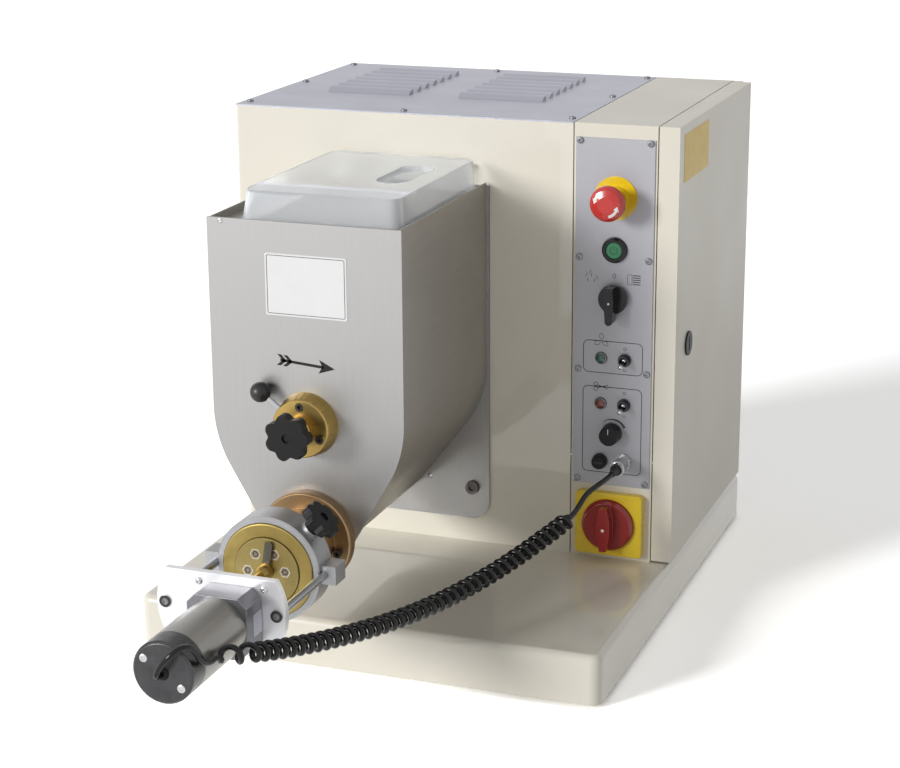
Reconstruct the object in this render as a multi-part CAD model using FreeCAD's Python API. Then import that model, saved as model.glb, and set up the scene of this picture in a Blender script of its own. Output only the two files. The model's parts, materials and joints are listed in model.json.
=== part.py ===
import FreeCAD, Part

import math
import os

from FreeCAD import Vector

# Bench-top electric pasta extruder: a cream steel cabinet on a wide base plinth, a
# stainless mixing hopper cantilevered from the cabinet's front, an extrusion barrel
# with a bronze die under it, and a motor-driven cutter that clamps on the die ring.
#
# Everything is drawn in millimetres with x = 0 on the base's middle, y = 0 on the
# cabinet's front face (the hopper reaches towards -y) and z = 0 on the base's lower
# edge. The finished pieces are then moved so that the origin lies on the floor under
# the middle of the machine's bounding box, its loose cord left out.

os.makedirs("parts", exist_ok=True)

# Base plinth
base_width = 533.0
base_apron = 282.0
base_height = 55.0
base_wall = 2.0
base_corner_radius = 13.0
base_edge_radius = 9.0
foot_height = 4.0
foot_radius = 19.0
foot_inset = 44.0

# Cabinet
cabinet_depth = 352.0
cabinet_rise = 504.0
cabinet_left_inset = 1.5
cabinet_bend_radius = 5.0
sheet = 2.0
cover_sheet = 1.5
column_width = 95.0
door_flange_width = 23.4
seam = 1.2
door_foot_gap = 2.0
door_back_gap = 8.0
cover_screw_side = 8.5
cover_screw_front = 24.0
cover_screw_end = 14.0
cover_screw_shift = 8.0

# Louvres of the top cover
louvre_count = 7
louvre_length = 104.0
louvre_depth = 15.0
louvre_rise = 5.0
louvre_pitch = 26.5
louvre_front = 122.0
louvre_sheet = 1.2
louvre_group_left = (-200.0, -34.0)

# Door hinges and lock
hinge_radius = 3.5
hinge_pin_radius = 2.0
hinge_length = 60.0
hinge_levels = (75.0, 405.0)
hinge_leaf = 2.0
hinge_leaf_width = 12.0
hinge_plate_width = 26.0
hinge_pin_inset = 1.0
lock_radius = 14.0
lock_head = 2.0
lock_body_radius = 9.0
lock_body_depth = 14.0
lock_from_front = 55.6
lock_level = 303.7
lock_slot = (3.0, 16.0)
keeper_reach = 8.0
cam_length = 46.0
cam_width = 14.0
cam_thickness = 3.0

# Screws
button_head_radius = 3.8
button_head_height = 2.2
button_shank_radius = 2.0
button_shank_length = 6.0
socket_head_radius = 4.5
socket_head_height = 5.0
socket_shank_radius = 2.5
socket_share = 0.5
socket_depth_share = 0.6
plate_screw_head_radius = 8.0
plate_screw_head_height = 4.0

# Control panel plate, measured from the middle of the control column
panel_width = 90.0
panel_height = 400.0
panel_bottom = 143.5
panel_sheet = 1.5
panel_screw_side = 40.0
panel_screw_levels = (148.5, 279.0, 409.0, 540.0)

# Controls: sideways place from the column's middle, and level
device_bore = 11.1
device_block = 30.0
device_block_depth = 34.0
estop_place = (1.2, 477.5)
start_place = (0.9, 419.0)
selector_place = (1.2, 364.0)
fan_lamp_place = (-13.1, 293.6)
fan_toggle_place = (14.4, 293.4)
cutter_lamp_place = (-13.1, 240.4)
cutter_toggle_place = (14.4, 240.7)
speed_place = (0.9, 206.6)
fuse_place = (-12.9, 171.8)
socket_place = (15.0, 173.6)
isolator_place = (-0.1, 98.5)

estop_collar_radius = 24.5
estop_collar_sheet = 1.2
estop_neck_radius = 14.0
estop_neck = 7.5
estop_stem_radius = 6.0
estop_head_radius = 20.0
estop_head_front = 42.0
estop_head_back = 20.0
estop_travel = 5.0
bezel_radius = 14.75
bezel_height = 5.0
bezel_lip = 2.5
bezel_round = 1.5
start_cap_radius = 9.5
start_travel = 3.0
start_cap_round = 0.8
selector_disc_radius = 16.5
selector_disc = 3.0
selector_grip_width = 11.0
selector_grip_front = 24.0
selector_grip_up = 16.0
selector_grip_down = 26.0
selector_grip_end = 4.2
lamp_bezel_radius = 7.3
lamp_lens_radius = 5.4
lamp_height = 5.0
lamp_bezel = 2.4
lamp_body_depth = 18.0
toggle_nut_radius = 7.5
toggle_bush_radius = 5.9
toggle_bush_length = 8.0
toggle_nut = 2.5
toggle_block = (13.0, 20.0, 24.0)
toggle_ball_radius = 4.3
toggle_neck_radius = 1.6
toggle_tip_radius = 2.7
toggle_tilt = 12.0
toggle_length = 19.0
knob_radius = 12.0
knob_front = 18.0
knob_shaft_radius = 3.0
knob_pointer = (1.2, 0.6)
knob_pointer_start = 2.0
pot_radius = 12.0
pot_depth = 14.0
pot_nut = 1.8
fuse_radius = 9.0
fuse_length = 9.0
fuse_round = 1.5
fuse_body_depth = 30.0
connector_radius = 7.5
connector_nut_radius = 9.5
connector_reach = 10.0
connector_nut = 2.5
connector_inside = 12.0
plug_radius = 8.5
plug_length = 22.0
plug_boot_length = 16.0
plug_boot_wall = 0.8
plug_boot_radius = 5.1
plug_collar = 5.0
isolator_width = 79.0
isolator_size = 75.0
isolator_corner = 5.0
isolator_plate = 10.0
isolator_neck_radius = 18.5
isolator_block = (56.0, 55.0, 56.0)
isolator_disc_radius = 31.0
isolator_disc = 7.0
isolator_bevel = 4.0
isolator_grip_width = 15.0
isolator_grip_end = 8.0
isolator_grip_front = 32.0
isolator_shaft_radius = 4.0
isolator_shaft_depth = 20.0
contactor_size = (72.0, 44.0, 78.0)
contactor_pitch = 48.0
contactor_first = 120.0
contactor_level = 330.0
contactor_count = 4
contactor_step = (0.4, 0.2)

# Running and standing clearances
running = 0.06
standing = 0.3

# Hopper, mixer and extruder axes
axis_x = -62.6
auger_level = 145.0
mixer_level = 270.0

# Hopper
hopper_top = 486.0
hopper_reach = 268.0
hopper_front_sheet = 3.0
hopper_back_sheet = 3.0
hopper_sheet = 2.0
front_half_width = 109.5
front_taper = 30.0
front_bottom_radius = 45.0
front_bend_radius = 130.0
trough_half_width = 108.0
trough_taper = 38.0
trough_bottom_radius = 31.0
trough_bend_radius = 125.0
back_plate_half_width = 110.8
back_plate_top = 482.4
back_plate_bottom = 84.5
back_plate_corner = 22.0
back_screw_side = 90.0
back_screw_level = 122.8

# Lid
lid_half_width = 87.0
lid_offset = 10.6
lid_front = 247.0
lid_back = 12.5
lid_top = 513.0
lid_wall = 3.5
lid_draft = 5.0
lid_skirt = 36.0
lid_corner = 14.0
slot_length = 105.0
slot_width = 38.0
slot_from_right = 24.0
slot_middle = 115.0
slot_rim = 4.0
lid_rear_edge = 6.0
lid_hinge_y = 8.5
lid_hinge_radius = 3.2
lid_pin_radius = 1.6
lid_knuckle = 16.0
lid_hinge_side = 55.0
lid_lug_sheet = 4.5
lid_lug_foot = 32.0

# Mixer
mixer_shaft_radius = 12.5
drive_shaft_back = 112.0
paddle_reach = 90.0
paddle_arm_radius = 6.0
paddle_stations = (42.0, 98.0, 154.0, 210.0)
paddle_blade = (8.0, 34.0, 34.0)
paddle_slant = 35.0
paddle_first = 45.0
hub_base_radius = 35.0
hub_face_radius = 31.5
hub_depth = 20.0
hub_boss_radius = 15.0
hub_boss = 9.0
hub_edge = 0.8
hub_screw_circle = 24.0
hub_screw_angles = (90.0, 213.0, 336.0)
hub_recess = 3.0
hub_recess_width = 12.0
hub_recess_margin = 4.0
lever_groove = 6.0
lever_groove_from_face = 4.0
lever_shoe_inner = 16.0
lever_shoe_outer = 29.0
lever_angle = 144.0
lever_swing = 30.0
lever_shoe_half = 9.0
lever_groove_end = 3.0
lever_rod_radius = 3.5
lever_rod_seat = 4.0
lever_ball_radius = 11.0
lever_ball_circle = 58.5
star_radius = 25.5
star_root = 20.5
star_lobes = 7
star_front = 55.0
star_grip = 12.5
star_stud_radius = 5.0
star_boss_radius = 10.0
star_boss_flare = 1.25
star_dimple = (5.0, 2.5)
star_edge = 1.8

# Extruder
auger_core_radius = 12.0
auger_flight_radius = 26.5
auger_pitch = 32.0
auger_flight_sheet = 3.0
auger_tip_gap = 4.0
auger_nose = 8.0
auger_flight_end = 12.0
barrel_bore = 27.0
barrel_flange_radius = 52.0
barrel_flange = 14.0
barrel_neck_radius = 34.5
barrel_spigot_radius = 33.0
barrel_thread_radius = 42.0
barrel_neck_length = 38.0
barrel_thread_length = 42.0
flange_screw_circle = 40.0
flange_screw_first = -15.0
flange_screw_count = 4
die_radius = 36.0
die_shoulder_radius = 41.4
die_shoulder = 6.0
die_nose = 12.0
die_edge = 0.6
insert_circle = 21.0
insert_radius = 5.5
insert_bore = 3.0
insert_core = 2.2
insert_bridge = 5.0
insert_feed = (3, 1.1, 2.6)
insert_count = 6
insert_first = 4.0
nut_radius = 50.7
nut_lip = 10.0
nut_skirt = 28.0
nut_edge = 1.0
flange_edge = 1.5

# Cutter unit
ring_radius = 57.5
ring_bore = 51.1
ring_length = 33.0
ring_edge = 1.5
ring_setback = 2.0
ear_setback = 5.0
ear_half_height = 10.0
ear_length = 25.0
ear_reach = 73.5
rod_side = 60.5
rod_radius = 4.5
rod_screw_head_radius = 6.2
rod_screw_head = 1.6
plate_front = 486.0
plate_sheet = 8.0
plate_radius = 70.0
plate_half_height = 36.0
ring_knob_angle = 46.0
ring_knob_setback = 18.0
ring_knob_radius = 21.0
ring_knob_root = 16.5
ring_knob_height = 19.0
ring_knob_grip = 11.5
ring_knob_boss = 9.0
ring_knob_pad = 5.0
ring_knob_stud = 4.0
gearmotor_offset = (12.5, -5.0)
gearbox_size = 64.0
gearbox_chamfer = 9.0
gearbox_depth = 34.0
motor_radius = 31.5
motor_length = 88.0
end_cap_length = 26.0
end_cap_edge = 2.5
gland_radius = 7.0
gland_length = 3.0
gland_depth = 8.0
gland_neck = 2.0
knife_tilt = 9.0
knife_shaft_radius = 4.5
knife_hub_radius = 8.5
knife_hub_length = 16.0
knife_gap = 0.8
knife_sheet = 2.5
knife_width = 8.5
knife_reach = 34.0

# Drive train inside the cabinet
gear_module = 2.5
gear_teeth = 50
pinion_teeth = 16
gear_width = 15.0
gear_y = 60.0
tooth_backlash = 0.35
frame_front = 30.0
frame_back = 100.0
frame_sheet = 8.0
frame_left = 80.0
frame_right = 168.0
frame_top = 350.0
spacer_inset = 15.0
bearing_radius = 24.0
bearing_width = 8.0
drive_motor_radius = 70.0
drive_motor_length = 172.0
drive_cowl_length = 22.0
drive_shaft_depth = 60.0
drive_rib_count = 24
drive_rib = (2.4, 8.0)
drive_flange = 12.0
terminal_box = (72.0, 76.0, 46.0)
terminal_box_start = 34.0
bearing_groove = (20.0, 16.0, 1.2)
spacer_radius = 9.0

# Mains gland at the back
mains_gland_place = (0.0, 120.0)
mains_gland_radius = 11.0
mains_gland_length = 12.0
mains_gland_neck = 8.0
mains_gland_inside = 8.0
mains_gland_cone = 5.0

# Cutter cord: a plain tail, the curly stretch and a looped tail
cord_radius = 3.0
coil_radius = 10.5
tail_bend = 15.0
plug_to_coil = [(-3.1, -16.5, -2.1), (-17.1, -38.5, -10.6), (-23.1, -48.0, -23.6), (-27.6, -62.5, -32.6)]
coil_bow = [
    (0.085, 11.0), (0.174, 21.1), (0.278, 30.3), (0.423, 37.0),
    (0.561, 36.3), (0.713, 29.0), (0.852, 17.3), (0.932, 7.4),
]
bend_to_coil = [
    (7.1, 0.0, 14.5), (19.1, 0.0, 27.0), (30.6, 12.0, 32.0), (34.1, 25.0, 22.0),
    (36.6, 40.0, 9.5), (40.6, 54.0, 8.2), (45.1, 70.0, 9.6),
]

# Places that follow from the sizes above
base_left = -base_width / 2
base_right = base_width / 2
base_top = base_height
cabinet_top = base_top + cabinet_rise
door_outer = base_right
door_inner = door_outer - sheet
column_right = door_outer - door_flange_width - seam
column_left = column_right - column_width
column_middle = (column_left + column_right) / 2
main_left = base_left + cabinet_left_inset
main_right = column_left - seam
hinge_x = door_inner - 2 * sheet
hinge_y = cabinet_depth - hinge_radius - hinge_pin_inset
plate_y = -hopper_reach
nut_front = hopper_reach + barrel_flange + barrel_neck_length + barrel_thread_length
nut_front = nut_front + die_shoulder + nut_lip
ring_front = nut_front - ring_setback
ring_back = ring_front - ring_length
die_back = hopper_reach + barrel_flange + barrel_neck_length + barrel_thread_length
die_front = die_back + die_shoulder + die_nose
motor_x = axis_x + gearmotor_offset[0]
motor_level = auger_level + gearmotor_offset[1]
gearbox_front = plate_front + gearbox_depth
motor_front = gearbox_front + motor_length
cap_front = motor_front + end_cap_length
gland_front = cap_front + gland_length
gear_radius = gear_module * gear_teeth / 2
pinion_radius = gear_module * pinion_teeth / 2
pinion_x = axis_x + gear_radius + pinion_radius
shift_x = -lock_head / 2
shift_y = (gland_front - cabinet_depth - mains_gland_length) / 2
shift_z = foot_height
origin_shift = Vector(shift_x, shift_y, shift_z)


def box(x0, x1, y0, y1, z0, z1):
    return Part.makeBox(x1 - x0, y1 - y0, z1 - z0, Vector(x0, y0, z0))


def bar_x(x0, x1, y, z, radius):
    return Part.makeCylinder(radius, x1 - x0, Vector(x0, y, z), Vector(1, 0, 0))


def bar_y(x, z, radius, y0, y1):
    return Part.makeCylinder(radius, y1 - y0, Vector(x, y0, z), Vector(0, 1, 0))


def bar_z(x, y, radius, z0, z1):
    return Part.makeCylinder(radius, z1 - z0, Vector(x, y, z0), Vector(0, 0, 1))


def turned_y(x, z, profile):
    """Solid of revolution about the line through (x, z) along y; profile is (y, radius)."""
    points = [Vector(x, y, z + r) for y, r in profile]
    points.insert(0, Vector(x, profile[0][0], z))
    points.append(Vector(x, profile[-1][0], z))
    points.append(points[0])
    kept = [p for i, p in enumerate(points) if i == 0 or p.distanceToPoint(points[i - 1]) > 1e-6]
    face = Part.Face(Part.makePolygon(kept))
    return face.revolve(Vector(x, 0, z), Vector(0, 1, 0), 360)


def ball_on_rod(foot, rod_radius, ball_radius, ball_level):
    """Turned rod along +z that starts at the foot level and ends in a ball."""
    join = ball_level - math.sqrt(ball_radius ** 2 - rod_radius ** 2)
    start = Vector(0, 0, foot)
    rim = Vector(rod_radius, 0, foot)
    neck = Vector(rod_radius, 0, join)
    crown = Vector(0, 0, ball_level + ball_radius)
    edges = [
        Part.LineSegment(start, rim).toShape(),
        Part.LineSegment(rim, neck).toShape(),
        Part.Arc(neck, Vector(ball_radius, 0, ball_level), crown).toShape(),
        Part.LineSegment(crown, start).toShape(),
    ]
    return Part.Face(Part.Wire(edges)).revolve(Vector(0, 0, 0), Vector(0, 0, 1), 360)


def bat_lever(ball_radius, neck_radius, tip_radius, length):
    """Turned bat lever along +z: a pivot ball about the origin, a taper and a round tip."""
    low = Vector(0, 0, -ball_radius)
    join = Vector(neck_radius, 0, math.sqrt(ball_radius ** 2 - neck_radius ** 2))
    shoulder = Vector(tip_radius, 0, length - tip_radius)
    crown = Vector(0, 0, length)
    corner = tip_radius * math.sqrt(0.5)
    edges = [
        Part.Arc(low, Vector(ball_radius, 0, 0), join).toShape(),
        Part.LineSegment(join, shoulder).toShape(),
        Part.Arc(shoulder, Vector(corner, 0, length - tip_radius + corner), crown).toShape(),
        Part.LineSegment(crown, low).toShape(),
    ]
    return Part.Face(Part.Wire(edges)).revolve(Vector(0, 0, 0), Vector(0, 0, 1), 360)


def prism_y(points, y0, y1):
    """Straight-sided prism along y; points are (x, z)."""
    corners = [Vector(x, y0, z) for x, z in points]
    corners.append(corners[0])
    return Part.Face(Part.makePolygon(corners)).extrude(Vector(0, y1 - y0, 0))


def joined(pieces):
    return pieces[0].multiFuse(pieces[1:]).removeSplitter()


def drilled(shape, tools):
    return shape.cut(Part.makeCompound(tools))


def along(shape, axis, keep):
    """Straight edges of the shape that run along the axis and pass the keep test."""
    found = []
    for edge in shape.Edges:
        if len(edge.Vertexes) != 2:
            continue
        run = edge.Vertexes[1].Point - edge.Vertexes[0].Point
        if run.Length < 1e-6:
            continue
        if abs(abs(run.dot(axis)) / run.Length - 1) < 1e-6 and keep(edge.CenterOfMass):
            found.append(edge)
    return found


def at_level(shape, z):
    found = []
    for edge in shape.Edges:
        if abs(edge.BoundBox.ZMin - z) < 1e-6 and abs(edge.BoundBox.ZMax - z) < 1e-6:
            found.append(edge)
    return found


def write(name, pieces):
    """Moves the pieces into the part's own frame and writes them as one file."""
    whole = pieces[0] if len(pieces) == 1 else Part.makeCompound(pieces)
    whole = whole.copy()
    whole.translate(origin_shift)
    for solid in whole.Solids:
        if not solid.isValid():
            print("not valid:", name)
    whole.exportStep("parts/" + name + ".step")


def polar(circle, degrees):
    """Sideways and upward place on a circle, counted from +x towards +z."""
    return circle * math.cos(math.radians(degrees)), circle * math.sin(math.radians(degrees))


# Base and feet

def plinth_block(inset):
    """Plinth body with rounded upright corners and a rounded top edge, shrunk by the inset."""
    block = box(
        base_left + inset, base_right - inset,
        -base_apron + inset, cabinet_depth - inset,
        inset, base_height - inset,
    )
    block = block.makeFillet(base_corner_radius - inset, along(block, Vector(0, 0, 1), lambda p: True))
    return block.makeFillet(base_edge_radius - inset, at_level(block, base_height - inset))


def base_plinth():
    return plinth_block(0).cut(plinth_block(base_wall))


def rubber_feet():
    feet = []
    for x in (base_left + foot_inset, base_right - foot_inset):
        for y in (-base_apron + foot_inset, cabinet_depth - foot_inset):
            foot = bar_z(x, y, foot_radius, -foot_height, 0)
            feet.append(foot.makeChamfer(foot_height / 4, at_level(foot, -foot_height)))
    return feet


# Cabinet

def cabinet_block(inset):
    block = box(
        main_left + inset, main_right + column_width, inset, cabinet_depth - inset,
        base_top, cabinet_top - cover_sheet,
    )
    upright = along(block, Vector(0, 0, 1), lambda p: p.x < 0)
    return block.makeFillet(cabinet_bend_radius - inset, upright)


def shaft_holes():
    """Clearance holes of the two shafts in the hopper's back plate and the cabinet's front."""
    holes = []
    for z in (auger_level, mixer_level):
        radius = (auger_core_radius if z == auger_level else mixer_shaft_radius) + running
        holes.append(bar_y(axis_x, z, radius, -hopper_back_sheet - 1, sheet + 1))
    return holes


def back_screw_places():
    return [(axis_x - back_screw_side, back_screw_level), (axis_x + back_screw_side, back_screw_level)]


def cabinet_wrap():
    wrap = cabinet_block(0).cut(cabinet_block(sheet))
    wrap = wrap.cut(box(main_right, column_right, -1, cabinet_depth + 1, 0, cabinet_top + 1))
    holes = shaft_holes()
    for x, z in back_screw_places():
        holes.append(bar_y(x, z, socket_shank_radius + running, -1, sheet + 1))
    return drilled(wrap, holes)


def louvre(x, y):
    """Pressed louvre: a hood that rises towards the rear, closed at its ends and open at its back."""
    hood = louvre_hood(x, y, louvre_length, louvre_depth, louvre_rise)
    inner_length = louvre_length - 2 * louvre_sheet
    inner = louvre_hood(
        x + louvre_sheet, y + louvre_sheet + 0.01,
        inner_length, louvre_depth - louvre_sheet, louvre_rise - louvre_sheet,
    )
    return hood.cut(inner)


def louvre_hood(x, y, length, depth, rise):
    front = Vector(x, y, cabinet_top)
    middle = Vector(x, y + depth * 0.38, cabinet_top + rise * 0.72)
    crest = Vector(x, y + depth, cabinet_top + rise)
    back = Vector(x, y + depth, cabinet_top)
    edges = [
        Part.Arc(front, middle, crest).toShape(),
        Part.LineSegment(crest, back).toShape(),
        Part.LineSegment(back, front).toShape(),
    ]
    return Part.Face(Part.Wire(edges)).extrude(Vector(length, 0, 0))


def cover_screw_places():
    places = []
    half_way = cabinet_depth / 2 + cover_screw_shift
    for x in (main_left + cover_screw_side, main_right - cover_screw_side):
        for y in (cover_screw_front, half_way, cabinet_depth - cover_screw_end):
            places.append((x, y))
    middle = (main_left + main_right) / 2
    places.append((middle, cover_screw_end))
    places.append((middle, cabinet_depth - cover_screw_end))
    return places


def top_cover():
    plate = box(main_left, main_right, 0, cabinet_depth, cabinet_top - cover_sheet, cabinet_top)
    slots = []
    hoods = [plate]
    for left in louvre_group_left:
        for i in range(louvre_count):
            y = louvre_front + i * louvre_pitch
            hoods.append(louvre(left, y))
            slots.append(box(
                left + louvre_sheet, left + louvre_length - louvre_sheet,
                y + 3 * louvre_sheet, y + louvre_depth, cabinet_top - cover_sheet - 1, cabinet_top,
            ))
    low = cabinet_top - 2 * cover_sheet
    for x, y in cover_screw_places():
        slots.append(bar_z(x, y, button_shank_radius + running, low, cabinet_top + 1))
    return drilled(joined(hoods), slots)


def panel_screw_places():
    places = []
    for z in panel_screw_levels:
        places.append((column_middle - panel_screw_side, z))
        places.append((column_middle + panel_screw_side, z))
    return places


def place(offset):
    """Sideways offset from the column's middle and level, as a place on the panel."""
    return column_middle + offset[0], offset[1]


def panel_bores():
    """Holes through the panel plate and the column's front for the controls and screws."""
    sizes = [
        (estop_place, device_bore), (start_place, device_bore), (selector_place, device_bore),
        (fan_lamp_place, lamp_lens_radius), (cutter_lamp_place, lamp_lens_radius),
        (fan_toggle_place, toggle_bush_radius), (cutter_toggle_place, toggle_bush_radius),
        (speed_place, toggle_bush_radius), (fuse_place, fuse_radius - fuse_round),
        (socket_place, connector_radius),
    ]
    holes = []
    for spot, radius in sizes:
        x, z = place(spot)
        holes.append(bar_y(x, z, radius + running, -panel_sheet - 1, sheet + 1))
    for x, z in panel_screw_places():
        holes.append(bar_y(x, z, button_shank_radius + running, -panel_sheet - 1, sheet + 1))
    x, z = place(isolator_place)
    holes.append(bar_y(x, z, isolator_neck_radius + running, -1, sheet + 1))
    return holes


def control_column():
    inner_back = cabinet_depth - sheet
    shell = box(column_left, column_right, 0, cabinet_depth, base_top, cabinet_top)
    inner = box(
        column_left + sheet, column_right + 1, sheet, inner_back, base_top - 1, cabinet_top - sheet,
    )
    back_edge = hinge_x - hinge_radius - hinge_leaf
    back = box(column_right, back_edge, inner_back, cabinet_depth, base_top, cabinet_top)
    shell = joined([shell.cut(inner), back])
    x, z = mains_gland_middle()
    gland = bar_y(x, z, mains_gland_neck + running, inner_back - 1, cabinet_depth + 1)
    return joined([drilled(shell, panel_bores() + [gland]), lock_keeper()])


def mains_gland_middle():
    return column_middle + mains_gland_place[0], mains_gland_place[1]


def lock_keeper():
    """Folded strip behind the column's edge that the lock's cam turns behind."""
    half = cam_length / 4
    low, high = lock_level - half, lock_level + half
    near = column_right - keeper_reach
    far = door_inner - keeper_reach
    foot = box(near, column_right, sheet, 2 * sheet, low, high)
    bridge = box(near, far, 2 * sheet, 3 * sheet, low, high)
    catch_depth = lock_from_front - cam_length + cam_width
    catch = box(far - sheet, far, 2 * sheet, catch_depth, low, high)
    return joined([foot, bridge, catch])


def side_door():
    gap_front = door_outer - door_flange_width
    bottom = base_top + door_foot_gap
    back = cabinet_depth - door_back_gap
    shell = box(gap_front, door_outer, 0, back, bottom, cabinet_top)
    inner = box(gap_front - 1, door_inner, sheet, back + 1, bottom - 1, cabinet_top - sheet)
    lock_hole = bar_x(
        door_inner - 1, door_outer + 1, lock_from_front, lock_level, lock_body_radius + running,
    )
    pieces = [drilled(shell, [inner, lock_hole])]
    for level in hinge_levels:
        pieces.append(door_knuckle(base_top + level))
    return joined(pieces)


def door_knuckle(low):
    """Middle third of a hinge: its knuckle and the leaf that is welded inside the door."""
    z0 = low + hinge_length / 3 + standing
    z1 = low + 2 * hinge_length / 3 - standing
    barrel = bar_z(hinge_x, hinge_y, hinge_radius, z0, z1)
    front = hinge_y - hinge_leaf / 2
    web = box(hinge_x, door_inner, front, front + hinge_leaf, z0, z1)
    leaf = box(door_inner - hinge_leaf, door_inner, front - hinge_leaf_width, front, z0, z1)
    bore = bar_z(hinge_x, hinge_y, hinge_pin_radius + running, z0 - 1, z1 + 1)
    return joined([barrel, web, leaf]).cut(bore)


def hinge_pins():
    hinges = []
    third = hinge_length / 3
    inner_back = cabinet_depth - sheet
    leaf_front = inner_back - hinge_leaf
    near = hinge_x - hinge_radius
    for level in hinge_levels:
        low = base_top + level
        leaf = box(
            near - hinge_plate_width, near - standing, leaf_front, inner_back, low, low + hinge_length,
        )
        pieces = [leaf, bar_z(hinge_x, hinge_y, hinge_pin_radius, low, low + hinge_length)]
        for z in (low, low + 2 * third):
            pieces.append(bar_z(hinge_x, hinge_y, hinge_radius, z, z + third))
            pieces.append(box(near - hinge_leaf, hinge_x, leaf_front, inner_back, z, z + third))
        hinges.append(joined(pieces))
    return hinges


def door_latch():
    """Quarter-turn lock: a slotted head on the door, its body and a cam behind."""
    y, z = lock_from_front, lock_level
    width, height = lock_slot
    half = cam_width / 2
    head = bar_x(door_outer, door_outer + lock_head, y, z, lock_radius)
    slot = box(
        door_outer + lock_head / 2, door_outer + lock_head + 1,
        y - width / 2, y + width / 2, z - height / 2, z + height / 2,
    )
    body = bar_x(door_inner - lock_body_depth, door_outer, y, z, lock_body_radius)
    cam_right = door_inner - lock_body_depth
    cam = box(cam_right - cam_thickness, cam_right, y - half, y + half, z - half, z + cam_length)
    return joined([head.cut(slot), body, cam])


def mains_gland():
    x, z = mains_gland_middle()
    inside = cabinet_depth - sheet - mains_gland_inside
    end = cabinet_depth + mains_gland_length
    body = turned_y(x, z, [
        (inside, mains_gland_neck), (cabinet_depth, mains_gland_neck), (cabinet_depth, mains_gland_radius),
        (end - mains_gland_cone, mains_gland_radius), (end, mains_gland_neck),
    ])
    return body.cut(bar_y(x, z, mains_gland_neck / 2, inside - 1, end + 1))


# Screws

def button_screw(x, y, z, outward):
    """Button-head screw whose head sits on the point and faces outward."""
    seat = Vector(x, y, z)
    head = Part.makeCylinder(button_head_radius, button_head_height, seat, outward)
    rim = []
    for edge in head.Edges:
        if len(edge.Vertexes) == 1 and (edge.CenterOfMass - seat).dot(outward) > button_head_height / 2:
            rim.append(edge)
    head = head.makeFillet(button_head_height * 0.6, rim)
    start = seat - outward * button_shank_length
    shank = Part.makeCylinder(button_shank_radius, button_shank_length, start, outward)
    top = seat + outward * (button_head_height / 2)
    socket = Part.makeCylinder(button_shank_radius * 0.65, button_head_height, top, outward)
    return joined([head, shank]).cut(socket)


def button_screws():
    screws = [button_screw(x, -panel_sheet, z, Vector(0, -1, 0)) for x, z in panel_screw_places()]
    for x, y in cover_screw_places():
        screws.append(button_screw(x, y, cabinet_top, Vector(0, 0, 1)))
    return screws


def socket_screw(x, z, seat, head_radius, head_height, shank_radius, shank_length):
    """Socket-head screw that faces the front, its head's seat at the given y."""
    head = bar_y(x, z, head_radius, seat - head_height, seat)
    shank = bar_y(x, z, shank_radius, seat, seat + shank_length)
    bottom = seat - head_height * (1 - socket_depth_share)
    socket = bar_y(x, z, head_radius * socket_share, seat - head_height - 1, bottom)
    return joined([head, shank]).cut(socket)


def hub_screw_places():
    spots = [polar(hub_screw_circle, angle) for angle in hub_screw_angles]
    return [(axis_x + u, mixer_level + v) for u, v in spots]


def flange_screw_places():
    step = 360 / flange_screw_count
    places = []
    for i in range(flange_screw_count):
        u, v = polar(flange_screw_circle, flange_screw_first + step * i)
        places.append((axis_x + u, auger_level + v))
    return places


def socket_screws():
    screws = []
    hub_seat = plate_y - hub_depth + socket_head_height
    for x, z in hub_screw_places():
        reach = hub_depth - socket_head_height + hopper_front_sheet
        screws.append(socket_screw(
            x, z, hub_seat, socket_head_radius, socket_head_height, socket_shank_radius, reach,
        ))
    for x, z in flange_screw_places():
        screws.append(socket_screw(
            x, z, plate_y - barrel_flange, socket_head_radius, socket_head_height,
            socket_shank_radius, barrel_flange + hopper_front_sheet,
        ))
    for x, z in back_screw_places():
        screws.append(socket_screw(
            x, z, -hopper_back_sheet, plate_screw_head_radius, plate_screw_head_height,
            socket_shank_radius, hopper_back_sheet + 4 * sheet,
        ))
    return screws


# Control panel

def panel_plate():
    half = panel_width / 2
    plate = box(
        column_middle - half, column_middle + half, -panel_sheet, 0,
        panel_bottom, panel_bottom + panel_height,
    )
    return drilled(plate, panel_bores())


def switch_body(spot, front_pieces, bore):
    """Fixed body of a panel control: what shows in front, its threaded bush and its contact block."""
    x, z = place(spot)
    half = device_block / 2
    pieces = list(front_pieces)
    pieces.append(bar_y(x, z, device_bore, -panel_sheet, sheet))
    pieces.append(box(x - half, x + half, sheet, sheet + device_block_depth, z - half, z + half))
    return joined(pieces).cut(bore)


def estop_collar():
    x, z = place(estop_place)
    front = -panel_sheet - estop_collar_sheet
    disc = bar_y(x, z, estop_collar_radius, front, -panel_sheet)
    neck = bar_y(x, z, estop_neck_radius, -panel_sheet - estop_neck, front)
    bore = bar_y(x, z, estop_stem_radius + running, -panel_sheet - estop_neck - 1, device_block_depth / 2)
    return switch_body(estop_place, [disc, neck], bore)


def estop_stem():
    x, z = place(estop_place)
    end = device_block_depth / 2 - estop_travel - 1
    return bar_y(x, z, estop_stem_radius, -panel_sheet - estop_head_back, end)


def estop_head():
    x, z = place(estop_place)
    back = -panel_sheet - estop_head_back
    front = -panel_sheet - estop_head_front
    depth = back - front
    return turned_y(x, z, [
        (front, estop_head_radius * 0.45), (front + depth * 0.10, estop_head_radius * 0.80),
        (front + depth * 0.28, estop_head_radius * 0.97), (front + depth * 0.45, estop_head_radius),
        (front + depth * 0.60, estop_head_radius * 0.96), (front + depth * 0.72, estop_head_radius * 0.70),
        (back, estop_head_radius * 0.55),
    ])


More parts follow.
